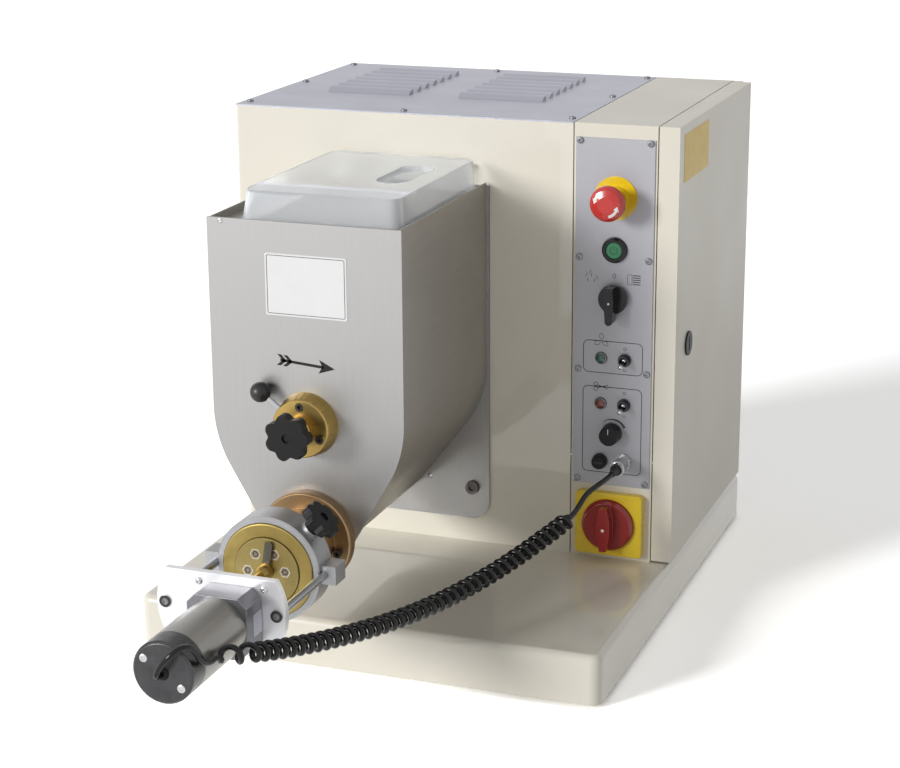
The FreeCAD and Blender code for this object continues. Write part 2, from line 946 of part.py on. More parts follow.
def ring_bezel(spot):
    x, z = place(spot)
    return turned_y(x, z, [
        (-panel_sheet - bezel_height, bezel_radius - bezel_lip),
        (-panel_sheet - bezel_height + bezel_round, bezel_radius - bezel_round / 2),
        (-panel_sheet, bezel_radius),
    ])


def start_bezel():
    x, z = place(start_place)
    end = sheet + 4 * start_travel
    bore = bar_y(x, z, start_cap_radius + running, -panel_sheet - bezel_height - 1, end)
    return switch_body(start_place, [ring_bezel(start_place)], bore)


def start_cap():
    x, z = place(start_place)
    front = -panel_sheet - bezel_height + start_cap_round
    return turned_y(x, z, [
        (front, start_cap_radius - start_cap_round), (front + start_cap_round, start_cap_radius),
        (sheet + start_travel * 2, start_cap_radius),
    ])


def selector_base():
    x, z = place(selector_place)
    bore = bar_y(x, z, knob_shaft_radius + running, -panel_sheet - bezel_height - 1, device_block_depth / 2)
    return switch_body(selector_place, [ring_bezel(selector_place)], bore)


def selector_knob():
    """Disc with a bar grip that points at the mark above it and trails below to a round end."""
    x, z = place(selector_place)
    seat = -panel_sheet - bezel_height - standing
    front = -panel_sheet - selector_grip_front
    half = selector_grip_width / 2
    end = selector_grip_end
    disc = bar_y(x, z, selector_disc_radius, seat - selector_disc, seat)
    low = z - selector_grip_down + end
    outline = [
        (x - end, z + selector_grip_up), (x + end, z + selector_grip_up),
        (x + half, z), (x + end, low), (x - end, low), (x - half, z),
    ]
    grip = prism_y(outline, front, seat - selector_disc)
    heel = bar_y(x, low, end, front, seat - selector_disc)
    shaft = bar_y(x, z, knob_shaft_radius, seat, device_block_depth / 2 - 2)
    return joined([disc, grip, heel, shaft])


def lamp(spot):
    x, z = place(spot)
    front = -panel_sheet - lamp_height
    rim = -panel_sheet - lamp_bezel
    return turned_y(x, z, [
        (front, lamp_lens_radius * 0.5), (front + lamp_height / 5, lamp_lens_radius * 0.9),
        (rim - lamp_height / 20, lamp_lens_radius), (rim, lamp_bezel_radius - lamp_height / 6),
        (-panel_sheet, lamp_bezel_radius), (-panel_sheet, lamp_lens_radius),
        (sheet + lamp_body_depth, lamp_lens_radius),
    ])


def lamps():
    return [lamp(fan_lamp_place), lamp(cutter_lamp_place)]


def toggle_pivot(spot):
    x, z = place(spot)
    return Vector(x, -panel_sheet - toggle_bush_length / 4, z)


def toggle_bush(spot):
    x, z = place(spot)
    width, depth, height = toggle_block
    nut = bar_y(x, z, toggle_nut_radius, -panel_sheet - toggle_nut, -panel_sheet)
    bush = bar_y(x, z, toggle_bush_radius, -panel_sheet - toggle_bush_length, sheet)
    block = box(x - width / 2, x + width / 2, sheet, sheet + depth, z - height / 2, z + height / 2)
    bore = bar_y(x, z, toggle_ball_radius + standing / 2, -panel_sheet - toggle_bush_length - 1, sheet)
    return joined([nut, bush, block]).cut(bore)


def speed_pot():
    x, z = place(speed_place)
    nut = bar_y(x, z, toggle_nut_radius, -panel_sheet - pot_nut, -panel_sheet)
    bush = bar_y(x, z, toggle_bush_radius, -panel_sheet, sheet)
    body = bar_y(x, z, pot_radius, sheet, sheet + pot_depth)
    bore = bar_y(x, z, knob_shaft_radius + running, -panel_sheet - pot_nut - 1, sheet + pot_depth - 2)
    return joined([nut, bush, body]).cut(bore)


def panel_bushes():
    return [toggle_bush(fan_toggle_place), toggle_bush(cutter_toggle_place), speed_pot()]


def toggle_lever(spot):
    """Ball-pivoted bat lever, tilted down."""
    pivot = toggle_pivot(spot)
    tilt = math.radians(toggle_tilt)
    aim = Vector(0, -math.cos(tilt), -math.sin(tilt))
    lever = bat_lever(toggle_ball_radius, toggle_neck_radius, toggle_tip_radius, toggle_length)
    return stood(lever, pivot, aim)


def speed_knob():
    x, z = place(speed_place)
    width, depth = knob_pointer
    back = -panel_sheet - pot_nut - standing
    front = -panel_sheet - knob_front
    knob = turned_y(x, z, [
        (front, knob_radius - 2 * width), (front + width, knob_radius - width), (back, knob_radius),
    ])
    pointer = box(
        x - width / 2, x + width / 2, front - 1, front + depth, z + knob_pointer_start, z + knob_radius,
    )
    return joined([knob.cut(pointer), bar_y(x, z, knob_shaft_radius, back, sheet + pot_depth - 4)])


def fuse_cap():
    x, z = place(fuse_place)
    front = -panel_sheet - fuse_length
    cap = turned_y(x, z, [
        (front, fuse_radius - fuse_round), (front + fuse_round, fuse_radius - fuse_round / 2),
        (-panel_sheet, fuse_radius),
    ])
    body = bar_y(x, z, fuse_radius - fuse_round, -panel_sheet, sheet + fuse_body_depth)
    return joined([cap, body])


def cord_socket():
    x, z = place(socket_place)
    nut = bar_y(x, z, connector_nut_radius, -panel_sheet - connector_nut, -panel_sheet)
    barrel = bar_y(x, z, connector_radius, -panel_sheet - connector_reach, sheet + connector_inside)
    return joined([nut, barrel])


def cord_plug():
    """Round plug on the cord: a knurled shell that butts on the socket, and its boot."""
    x, z = place(socket_place)
    seat = -panel_sheet - connector_reach
    front = seat - plug_length
    return turned_y(x, z, [
        (front - plug_boot_length, cord_radius + plug_boot_wall), (front, plug_boot_radius),
        (front, plug_radius - 2 * plug_boot_wall), (front + plug_collar, plug_radius - plug_boot_wall),
        (front + plug_collar, plug_radius), (seat, plug_radius),
    ])


def isolator_body():
    x, z = place(isolator_place)
    half = isolator_width / 2
    tall = isolator_size / 2
    width, depth, height = isolator_block
    plate = box(x - half, x + half, -isolator_plate, 0, z - tall, z + tall)
    plate = plate.makeFillet(isolator_corner, along(plate, Vector(0, 1, 0), lambda p: True))
    neck = bar_y(x, z, isolator_neck_radius, 0, sheet)
    block = box(x - width / 2, x + width / 2, sheet, sheet + depth, z - height / 2, z + height / 2)
    bore = bar_y(x, z, isolator_shaft_radius + running, -isolator_plate - 1, isolator_shaft_depth)
    return joined([plate, neck, block]).cut(bore)


def isolator_handle():
    """Round rotor with a bar grip that narrows to both ends."""
    x, z = place(isolator_place)
    seat = -isolator_plate - standing
    front = seat - isolator_disc
    disc = turned_y(x, z, [
        (front, isolator_disc_radius - isolator_bevel),
        (front + 3 * isolator_bevel / 4, isolator_disc_radius - isolator_bevel / 4),
        (seat, isolator_disc_radius),
    ])
    half = isolator_grip_width / 2
    end = isolator_grip_end / 2
    tall = isolator_disc_radius - isolator_bevel - 1
    knee = tall * 0.4
    outline = [
        (x - end, z + tall), (x + end, z + tall), (x + half, z + knee), (x + half, z - knee),
        (x + end, z - tall), (x - end, z - tall), (x - half, z - knee), (x - half, z + knee),
    ]
    grip = prism_y(outline, -isolator_grip_front, front + 1)
    return joined([disc, grip, bar_y(x, z, isolator_shaft_radius, seat, isolator_shaft_depth - 2)])


def contactors():
    width, depth, height = contactor_size
    left = column_left + sheet
    blocks = []
    for i in range(contactor_count):
        y = contactor_first + i * contactor_pitch
        block = box(left, left + width, y, y + depth, contactor_level, contactor_level + height)
        notch = left + width - width * contactor_step[0]
        tall = height * contactor_step[1]
        low = contactor_level - 1
        step = box(notch, left + width + 1, y - 1, y + depth + 1, low, contactor_level + tall)
        crown = step.copy()
        crown.translate(Vector(0, 0, height - tall + 1))
        blocks.append(drilled(block, [step, crown]))
    return blocks


# Hopper

def hopper_outline(y, half_width, top, taper, bottom_radius, bend_radius):
    """Closed outline: upright sides, a bend into tapered sides, and a round bottom about the auger."""
    lean = math.radians(taper)
    foot = (bottom_radius * math.cos(lean), -bottom_radius * math.sin(lean))
    rise = (half_width - foot[0]) / math.sin(lean)
    knee = (half_width, foot[1] + rise * math.cos(lean))
    tangent = bend_radius * math.tan(lean / 2)
    low = (knee[0] - tangent * math.sin(lean), knee[1] - tangent * math.cos(lean))
    high = (half_width, knee[1] + tangent)
    centre = (half_width - bend_radius, high[1])
    middle = (centre[0] + bend_radius * math.cos(lean / 2), centre[1] - bend_radius * math.sin(lean / 2))
    crest = top - auger_level

    def spot(pair, side):
        return Vector(axis_x + side * pair[0], y, auger_level + pair[1])

    edges = [Part.Arc(spot(foot, -1), spot((0, -bottom_radius), 1), spot(foot, 1)).toShape()]
    edges.append(Part.LineSegment(spot(foot, 1), spot(low, 1)).toShape())
    edges.append(Part.Arc(spot(low, 1), spot(middle, 1), spot(high, 1)).toShape())
    edges.append(Part.LineSegment(spot(high, 1), spot((half_width, crest), 1)).toShape())
    edges.append(Part.LineSegment(spot((half_width, crest), 1), spot((half_width, crest), -1)).toShape())
    edges.append(Part.LineSegment(spot((half_width, crest), -1), spot(high, -1)).toShape())
    edges.append(Part.Arc(spot(high, -1), spot(middle, -1), spot(low, -1)).toShape())
    edges.append(Part.LineSegment(spot(low, -1), spot(foot, -1)).toShape())
    return Part.Wire(edges)


def trough_prism(inset, y0, y1, top):
    outline = hopper_outline(
        y0, trough_half_width - inset, top, trough_taper,
        trough_bottom_radius - inset, trough_bend_radius - inset,
    )
    return Part.Face(outline).extrude(Vector(0, y1 - y0, 0))


def hopper_trough():
    """Bent stainless trough between the two end plates, with a ledge inside each top edge."""
    front = plate_y + hopper_front_sheet
    back = -hopper_back_sheet
    trough = trough_prism(0, front, back, hopper_top)
    trough = trough.cut(trough_prism(hopper_sheet, front - 1, back + 1, hopper_top + 1))
    ledge_top = lid_top - lid_skirt - standing
    inner = trough_half_width - hopper_sheet
    lid_middle = axis_x + lid_offset
    left_edge = lid_middle - lid_half_width + lid_wall
    right_edge = lid_middle + lid_half_width - lid_wall
    left = box(axis_x - inner, left_edge, front, back, ledge_top - hopper_sheet, ledge_top)
    right = box(right_edge, axis_x + inner, front, back, ledge_top - hopper_sheet, ledge_top)
    return joined([trough, left, right])


def hopper_front_plate():
    outline = hopper_outline(
        plate_y, front_half_width, hopper_top, front_taper, front_bottom_radius, front_bend_radius,
    )
    plate = Part.Face(outline).extrude(Vector(0, hopper_front_sheet, 0))
    through = plate_y + hopper_front_sheet + 1
    holes = [
        bar_y(axis_x, mixer_level, mixer_shaft_radius + running, plate_y - 1, through),
        bar_y(axis_x, auger_level, barrel_spigot_radius + running, plate_y - 1, through),
    ]
    for x, z in hub_screw_places() + flange_screw_places():
        holes.append(bar_y(x, z, socket_shank_radius + running, plate_y - 1, through))
    return drilled(plate, holes)


def lid_axis():
    return Vector(0, -lid_hinge_y, lid_top - lid_wall - standing - lid_hinge_radius)


def hopper_back_plate():
    """Stainless plate on the cabinet's front, with welded lugs and pins for the lid."""
    plate = box(
        axis_x - back_plate_half_width, axis_x + back_plate_half_width,
        -hopper_back_sheet, 0, back_plate_bottom, back_plate_top,
    )
    low = along(plate, Vector(0, 1, 0), lambda p: p.z < auger_level)
    plate = plate.makeFillet(back_plate_corner, low)
    holes = shaft_holes()
    for x, z in back_screw_places():
        holes.append(bar_y(x, z, socket_shank_radius + running, -hopper_back_sheet - 1, 1))
    pieces = [drilled(plate, holes)]
    pivot = lid_axis()
    for side in (-1, 1):
        middle = axis_x + lid_offset + side * lid_hinge_side
        x0 = middle - lid_knuckle / 2
        x1 = middle + lid_knuckle / 2
        web_front = pivot.y - lid_lug_sheet / 3
        heel = pivot.z - lid_lug_sheet
        foot = box(x0, x1, web_front, -hopper_back_sheet, pivot.z - lid_lug_foot, heel)
        web = box(x0, x1, web_front, web_front + lid_lug_sheet, heel, pivot.z)
        brace = box(x0, x1, -hopper_back_sheet, 0, back_plate_top, heel)
        barrel = bar_x(x0, x1, pivot.y, pivot.z, lid_hinge_radius)
        lug = joined([foot, web, brace, barrel])
        pin = bar_x(x0 - lid_knuckle, x1 + lid_knuckle, pivot.y, pivot.z, lid_pin_radius)
        pieces.append(joined([lug, pin]))
    return joined(pieces)


def lid_block(inset, top, bottom):
    """Lid body: a rounded rectangle that widens by the draft towards its lower edge."""
    middle = axis_x + lid_offset
    height = lid_top - lid_skirt
    wires = []
    for z in (top, bottom):
        grow = lid_draft * (lid_top - z) / (lid_top - height) - inset
        wires.append(rounded_wire(
            middle - lid_half_width - grow, middle + lid_half_width + grow,
            -lid_front - grow, -lid_back + min(grow, lid_draft / 4 - inset), z, lid_corner - inset,
        ))
    return Part.makeLoft(wires, True, True)


def rounded_wire(x0, x1, y0, y1, z, radius):
    corners = [
        (x1 - radius, y1 - radius, 0), (x0 + radius, y1 - radius, 90),
        (x0 + radius, y0 + radius, 180), (x1 - radius, y0 + radius, 270),
    ]
    edges = []
    last = None
    first = None
    for cx, cy, start in corners:
        points = []
        for turn in (0, 45, 90):
            u, v = polar(radius, start + turn)
            points.append(Vector(cx + u, cy + v, z))
        if last is not None:
            edges.append(Part.LineSegment(last, points[0]).toShape())
        else:
            first = points[0]
        edges.append(Part.Arc(*points).toShape())
        last = points[2]
    edges.append(Part.LineSegment(last, first).toShape())
    return Part.Wire(edges)


def obround(x, y, width, length, z0, z1):
    """Slot shape that runs along y with round ends."""
    straight = (length - width) / 2
    ends = [bar_z(x, y - straight, width / 2, z0, z1), bar_z(x, y + straight, width / 2, z0, z1)]
    return joined([box(x - width / 2, x + width / 2, y - straight, y + straight, z0, z1)] + ends)


def clear_lid():
    middle = axis_x + lid_offset
    shell = lid_block(0, lid_top, lid_top - lid_skirt)
    inner = lid_block(lid_wall, lid_top - lid_wall, lid_top - lid_skirt - 1)
    shell = shell.cut(inner)
    slot_x = middle + lid_half_width - slot_from_right - slot_width / 2
    rim = obround(
        slot_x, -slot_middle, slot_width + 2 * slot_rim, slot_length + 2 * slot_rim,
        lid_top - 2 * lid_wall, lid_top,
    )
    cut = obround(slot_x, -slot_middle, slot_width, slot_length, lid_top - 3 * lid_wall, lid_top + 1)
    shelf = Part.Face(rounded_wire(
        middle - lid_half_width, middle + lid_half_width, -lid_front / 2, -lid_rear_edge,
        lid_top - lid_wall, lid_corner,
    )).extrude(Vector(0, 0, lid_wall))
    shell = joined([shell, rim, shelf]).cut(cut)
    pieces = [shell]
    pivot = lid_axis()
    for side in (-1, 1):
        for hand in (-1, 1):
            near = middle + side * lid_hinge_side + hand * (lid_knuckle / 2 + standing)
            far = near + hand * (lid_knuckle - 2 * standing)
            x0, x1 = min(near, far), max(near, far)
            barrel = bar_x(x0, x1, pivot.y, pivot.z, lid_hinge_radius)
            strap = box(
                x0, x1, pivot.y - lid_hinge_radius, pivot.y + lid_hinge_radius * 0.6,
                pivot.z, lid_top - lid_wall,
            )
            bore = bar_x(x0 - 1, x1 + 1, pivot.y, pivot.z, lid_pin_radius + running)
            pieces.append(joined([barrel, strap]).cut(bore))
    return joined(pieces)


# Mixer

def sector(x, z, inner, outer, first, last, y0, y1):
    """Part of a flat ring between two angles."""
    spots = []
    for reach in (inner, outer):
        for angle in (first, (first + last) / 2, last):
            u, v = polar(reach, angle)
            spots.append(Vector(x + u, y0, z + v))
    edges = [
        Part.Arc(spots[0], spots[1], spots[2]).toShape(),
        Part.LineSegment(spots[2], spots[5]).toShape(),
        Part.Arc(spots[5], spots[4], spots[3]).toShape(),
        Part.LineSegment(spots[3], spots[0]).toShape(),
    ]
    return Part.Face(Part.Wire(edges)).extrude(Vector(0, y1 - y0, 0))


def lever_plane():
    """Middle of the lever's groove, along y."""
    return plate_y - hub_depth + lever_groove_from_face + lever_groove / 2


def mixer_hub():
    """Brass hub with a boss for the star knob, a groove for the lever and a milled recess."""
    front = plate_y - hub_depth
    seat = front + socket_head_height
    y0 = lever_plane() - lever_groove / 2
    y1 = lever_plane() + lever_groove / 2
    hub = turned_y(axis_x, mixer_level, [
        (front - hub_boss, hub_boss_radius - hub_edge), (front - hub_boss + hub_edge, hub_boss_radius),
        (front, hub_boss_radius), (front, hub_face_radius - hub_edge),
        (front + hub_edge, hub_face_radius), (plate_y, hub_base_radius),
    ])
    tools = [
        bar_y(axis_x, mixer_level, star_stud_radius + running, front - hub_boss - 1, lever_plane()),
        bar_y(axis_x, mixer_level, mixer_shaft_radius + running, y1, plate_y + 1),
    ]
    for x, z in hub_screw_places():
        tools.append(bar_y(x, z, socket_head_radius + standing, front - 1, seat))
        tools.append(bar_y(x, z, socket_shank_radius + running, seat - 1, plate_y + 1))
    spare = lever_shoe_half + lever_groove_end
    tools.append(sector(
        axis_x, mixer_level, lever_shoe_inner - standing, hub_base_radius + 1,
        lever_angle - spare, lever_angle + lever_swing + spare, y0, y1,
    ))
    half = hub_recess_width / 2
    tools.append(box(
        axis_x + hub_boss_radius, axis_x + hub_face_radius - hub_recess_margin,
        front - 1, front + hub_recess, mixer_level - half, mixer_level + half,
    ))
    return drilled(hub, tools)


def lock_lever():
    """Shoe that swings in the hub's groove, with a rod and a ball."""
    middle = lever_plane()
    half = lever_groove / 2 - standing
    shoe = sector(
        axis_x, mixer_level, lever_shoe_inner, lever_shoe_outer,
        lever_angle - lever_shoe_half, lever_angle + lever_shoe_half, middle - half, middle + half,
    )
    u, v = polar(1, lever_angle)
    rod_radius = min(lever_rod_radius, half)
    rod = ball_on_rod(lever_shoe_outer - lever_rod_seat, rod_radius, lever_ball_radius, lever_ball_circle)
    return joined([shoe, stood(rod, Vector(axis_x, middle, mixer_level), Vector(u, 0, v))])


def star_face(radius, root, lobes):
    """Closed lobed outline in the x-y plane: round lobes joined by hollows."""
    points = []
    per_lobe = 12
    for i in range(lobes * per_lobe):
        turn = 2 * math.pi * i / (lobes * per_lobe)
        wave = math.cos(lobes * turn)
        reach = root + (radius - root) * (0.5 + 0.5 * wave) ** 0.8
        points.append(Vector(reach * math.cos(turn), reach * math.sin(turn), 0))
    curve = Part.BSplineCurve()
    curve.interpolate(points, PeriodicFlag=True)
    return Part.Face(Part.Wire([curve.toShape()]))


def star_knob(radius, root, height, grip_height, boss_radius, stud_radius, stud_length):
    """Star grip that stands on z = 0 facing +z, on a boss, with a threaded stud below."""
    back = height - grip_height
    grip = star_face(radius, root, star_lobes).extrude(Vector(0, 0, grip_height))
    grip.translate(Vector(0, 0, back))
    crown = turned_z([
        (back, radius - star_edge), (back + star_edge, radius + 1), (height - star_edge, radius + 1),
        (height, radius - star_edge),
    ])
    grip = grip.common(crown)
    boss = Part.makeCone(boss_radius, boss_radius * star_boss_flare, back + 1)
    dimple_radius, dimple_depth = star_dimple
    dimple = Part.makeCylinder(dimple_radius, dimple_depth + 1, Vector(0, 0, height - dimple_depth))
    stud = Part.makeCylinder(stud_radius, stud_length, Vector(0, 0, -stud_length))
    return joined([grip, boss, stud]).cut(dimple)


def turned_z(profile):
    """Solid of revolution about z; profile is (z, radius)."""
    points = [Vector(0, 0, profile[0][0])]
    points += [Vector(r, 0, z) for z, r in profile]
    points.append(Vector(0, 0, profile[-1][0]))
    points.append(points[0])
    return Part.Face(Part.makePolygon(points)).revolve(Vector(0, 0, 0), Vector(0, 0, 1), 360)


def stood(shape, origin, aim):
    """Turns a shape drawn along +z to the aim and sets it on the origin."""
    turned = shape.copy()
    turned.Placement = FreeCAD.Placement(origin, FreeCAD.Rotation(Vector(0, 0, 1), aim))
    return turned


def mixer_knob():
    stand = hub_depth + hub_boss + standing
    stud = hub_boss + lever_groove_from_face
    knob = star_knob(
        star_radius, star_root, star_front - stand, star_grip, star_boss_radius, star_stud_radius, stud,
    )
    return stood(knob, Vector(axis_x, plate_y - stand, mixer_level), Vector(0, -1, 0))


def mixer_shaft():
    """Stainless shaft with crossed arms; each arm ends in a slanted paddle."""
    front = lever_plane() + lever_groove / 2 + standing
    pieces = [bar_y(axis_x, mixer_level, mixer_shaft_radius, front, drive_shaft_back)]
    thick, wide, tall = paddle_blade
    for i, station in enumerate(paddle_stations):
        for flip in (0, 180):
            angle = paddle_first + 90 * (i % 2) + flip
            arm = bar_z(0, 0, paddle_arm_radius, 0, paddle_reach - tall / 2)
            blade = Part.makeBox(wide, thick, tall, Vector(-wide / 2, -thick / 2, paddle_reach - tall))
            blade.rotate(Vector(0, 0, 0), Vector(0, 0, 1), paddle_slant)
            paddle = joined([arm, blade])
            paddle.rotate(Vector(0, 0, 0), Vector(0, 1, 0), angle)
            paddle.translate(Vector(axis_x, -station, mixer_level))
            pieces.append(paddle)
    return joined(pieces)


# Extruder

def auger():
    """Steel screw: a helical flight on a shaft that runs back to the drive gears."""
    tip = die_back - auger_tip_gap
    length = tip - auger_nose - auger_flight_end
    helix = Part.makeHelix(auger_pitch, length, auger_core_radius)
    half = auger_flight_sheet / 2
    inner = auger_core_radius - 1
    corners = [
        Vector(inner, 0, -half), Vector(auger_flight_radius, 0, -half * 0.7),
        Vector(auger_flight_radius, 0, half * 0.7), Vector(inner, 0, half),
    ]
    section = Part.makePolygon(corners + [corners[0]])
    flight = Part.Wire(helix).makePipeShell([section], True, True)
    core = bar_z(0, 0, auger_core_radius, -auger_nose, tip + drive_shaft_back - auger_nose)
    screw = joined([core, flight])
    return stood(screw, Vector(axis_x, -tip + auger_nose, auger_level), Vector(0, 1, 0))


def barrel():
    flange_front = plate_y - barrel_flange
    neck_front = flange_front - barrel_neck_length
    thread_front = neck_front - barrel_thread_length
    body = turned_y(axis_x, auger_level, [
        (thread_front, barrel_thread_radius), (neck_front, barrel_thread_radius),
        (neck_front, barrel_neck_radius), (flange_front, barrel_neck_radius),
        (flange_front, barrel_flange_radius - flange_edge),
        (flange_front + flange_edge, barrel_flange_radius), (plate_y, barrel_flange_radius),
        (plate_y, barrel_spigot_radius), (plate_y + hopper_front_sheet, barrel_spigot_radius),
    ])
    tools = [bar_y(axis_x, auger_level, barrel_bore, thread_front - 1, plate_y + hopper_front_sheet + 1)]
    for x, z in flange_screw_places():
        tools.append(bar_y(x, z, socket_shank_radius + running, flange_front - 1, plate_y + 1))
    return drilled(body, tools)


def die_nut():
    """Threaded brass ring that holds the die against the barrel."""
    front = -nut_front
    back = front + nut_lip + nut_skirt
    body = turned_y(axis_x, auger_level, [
        (front, nut_radius - nut_edge), (front + nut_edge, nut_radius), (back, nut_radius),
    ])
    lip = bar_y(axis_x, auger_level, die_radius + standing, front - 1, front + nut_lip)
    thread = bar_y(axis_x, auger_level, barrel_thread_radius + running, front + nut_lip, back + 1)
    return drilled(body, [lip, thread])


def insert_places():
    step = 360 / insert_count
    spots = [polar(insert_circle, insert_first + step * i) for i in range(insert_count)]
    return [(axis_x + u, auger_level + v) for u, v in spots]


def die_insert(x, z):
    """Pressed-in insert for tube pasta: a bore with a core pin, fed through a bridge behind."""
    front = -die_front
    back = -die_back
    ring = bar_y(x, z, insert_radius, front, back)
    bore = bar_y(x, z, insert_bore, front - 1, back - insert_bridge)
    core = bar_y(x, z, insert_core, front - 1, back)
    count, feed_radius, feed_circle = insert_feed
    tools = [bore.cut(core)]
    for i in range(count):
        u, v = polar(feed_circle, 90 + 360 / count * i)
        tools.append(bar_y(x + u, z + v, feed_radius, back - insert_bridge - 1, back + 1))
    return drilled(ring, tools)


def die_plate():
    """Brass die and its pressed-in inserts."""
    front = -die_front
    back = -die_back
    body = turned_y(axis_x, auger_level, [
        (front, die_radius - die_edge), (front + die_edge, die_radius), (back - die_shoulder, die_radius),
        (back - die_shoulder, die_shoulder_radius), (back, die_shoulder_radius),
    ])
    tools = [bar_y(x, z, insert_radius, front - 1, back + 1) for x, z in insert_places()]
    return [drilled(body, tools)] + [die_insert(x, z) for x, z in insert_places()]


# Cutter unit

def clamp_ring():
    """Aluminium ring on the die nut, with an ear each side for the rods and a boss for the knob."""
    front = -ring_front
    back = -ring_back
    ear_front = front + ear_setback
    low, high = auger_level - ear_half_height, auger_level + ear_half_height
    pieces = [turned_y(axis_x, auger_level, [
        (front, ring_radius - ring_edge), (front + ring_edge, ring_radius), (back, ring_radius),
    ])]
    tools = [
        bar_y(axis_x, auger_level, ring_bore, front - 1, back + 1),
        Part.makeCylinder(ring_knob_stud + running, ring_radius, knob_foot(ring_bore - 5), knob_aim()),
    ]
    for side in (-1, 1):
        x0, x1 = sorted((axis_x + side * (ring_bore + 2), axis_x + side * ear_reach))
        x = axis_x + side * rod_side
        pieces.append(box(x0, x1, ear_front, ear_front + ear_length, low, high))
        tools.append(bar_y(x, auger_level, rod_radius + running, front - 1, ear_front + ear_length / 2))
    pad = ring_radius + ring_knob_pad - ring_bore
    pieces.append(Part.makeCylinder(ring_knob_boss + 1, pad, knob_foot(ring_bore), knob_aim()))
    return drilled(joined(pieces), tools)


def knob_aim():
    u, v = polar(1, ring_knob_angle)
    return Vector(u, 0, v)


def knob_foot(reach):
    u, v = polar(reach, ring_knob_angle)
    return Vector(axis_x + u, -ring_front + ring_knob_setback, auger_level + v)


def ring_knob():
    seat = ring_radius + ring_knob_pad + standing
    stud = seat - nut_radius - 2 * standing
    knob = star_knob(
        ring_knob_radius, ring_knob_root, ring_knob_height, ring_knob_grip,
        ring_knob_boss, ring_knob_stud, stud,
    )
    return stood(knob, knob_foot(seat), knob_aim())


def guide_rods():
    """Two steel rods from the ring's ears to the motor plate, each with its end screw."""
    rods = []
    ear_middle = -ring_front + ear_setback + ear_length / 2
    front = -plate_front - rod_screw_head
    for side in (-1, 1):
        x = axis_x + side * rod_side
        rod = bar_y(x, auger_level, rod_radius, -plate_front + plate_sheet, ear_middle)
        head = bar_y(x, auger_level, rod_screw_head_radius, front, -plate_front)
        shank = bar_y(x, auger_level, socket_shank_radius, -plate_front, -plate_front + plate_sheet)
        socket = bar_y(x, auger_level, socket_shank_radius, front - 1, front + rod_screw_head / 2)
        rods.append(joined([rod, head, shank]).cut(socket))
    return rods


def motor_plate():
    front = -plate_front
    back = front + plate_sheet
    disc = bar_y(axis_x, auger_level, plate_radius, front, back)
    band = box(
        axis_x - plate_radius - 1, axis_x + plate_radius + 1, front - 1, back + 1,
        auger_level - plate_half_height, auger_level + plate_half_height,
    )
    tools = [bar_y(axis_x, auger_level, knife_hub_radius, front - 1, back + 1)]
    for side in (-1, 1):
        x = axis_x + side * rod_side
        tools.append(bar_y(x, auger_level, socket_shank_radius + running, front - 1, back + 1))
    return drilled(disc.common(band), tools)


def cutter_gearbox():
    half = gearbox_size / 2
    block = box(
        motor_x - half, motor_x + half, -gearbox_front, -plate_front,
        motor_level - half, motor_level + half,
    )
    corners = along(block, Vector(0, 1, 0), lambda p: True)
    block = block.makeChamfer(gearbox_chamfer, corners)
    return block.cut(bar_y(
        axis_x, auger_level, knife_shaft_radius + running, -plate_front - gearbox_depth / 2, -plate_front + 1,
    ))


def cutter_motor():
    front = -motor_front
    return bar_y(motor_x, motor_level, motor_radius, front, -gearbox_front)


def motor_end_cap():
    front = -cap_front
    body = turned_y(motor_x, motor_level, [
        (front, motor_radius - end_cap_edge), (front + end_cap_edge, motor_radius),
        (-motor_front, motor_radius),
    ])
    return body.cut(bar_y(
        motor_x, motor_level, gland_radius - gland_neck + running, front - 1, front + gland_depth,
    ))


def cable_gland():
    front = -gland_front
    neck = gland_radius - gland_neck
    return turned_y(motor_x, motor_level, [
        (front, neck), (front + gland_length * 0.6, gland_radius - gland_neck / 4),
        (-cap_front, gland_radius), (-cap_front, neck), (-cap_front + gland_depth, neck),
    ])


def knife():
    """Cutter shaft with a brass hub and one steel blade that sweeps the die's face."""
    face = -die_front - knife_gap
    tail = -plate_front - gearbox_depth / 2 + 1
    shaft = bar_y(axis_x, auger_level, knife_shaft_radius, tail, face)
    hub = turned_y(axis_x, auger_level, [
        (face - knife_hub_length, knife_hub_radius - 2), (face - knife_hub_length * 0.6, knife_hub_radius),
        (face, knife_hub_radius),
    ])
    half = knife_width / 2
    outline = [
        (axis_x - half, auger_level), (axis_x + half, auger_level),
        (axis_x + half, auger_level + knife_reach * 0.94), (axis_x + half * 0.4, auger_level + knife_reach),
        (axis_x - half, auger_level + knife_reach * 0.97),
    ]
    blade = prism_y(outline, face - knife_sheet, face)
    blade.rotate(Vector(axis_x, 0, auger_level), Vector(0, 1, 0), knife_tilt)
    return joined([shaft, hub, blade])


# Drive train

def gear(teeth, bore):
    """Spur gear about the z axis; tooth flanks are straight and leave some backlash."""
    pitch = gear_module * teeth / 2
    tip = pitch + gear_module * 0.9
    root = pitch - gear_module * 1.2
    quarter = math.pi / (2 * teeth)
    slack = tooth_backlash / pitch / 2
    points = []
    for i in range(teeth):
        middle = 4 * quarter * i
        for reach, turn in (
            (root, -quarter * 1.45), (pitch, -quarter + slack), (tip, -quarter * 0.5),
            (tip, quarter * 0.5), (pitch, quarter - slack), (root, quarter * 1.45),
        ):
            points.append(Vector(reach * math.cos(middle + turn), reach * math.sin(middle + turn), 0))
    points.append(points[0])
    wheel = Part.Face(Part.makePolygon(points)).extrude(Vector(0, 0, gear_width))
    return wheel.cut(Part.makeCylinder(bore, gear_width + 2, Vector(0, 0, -1)))


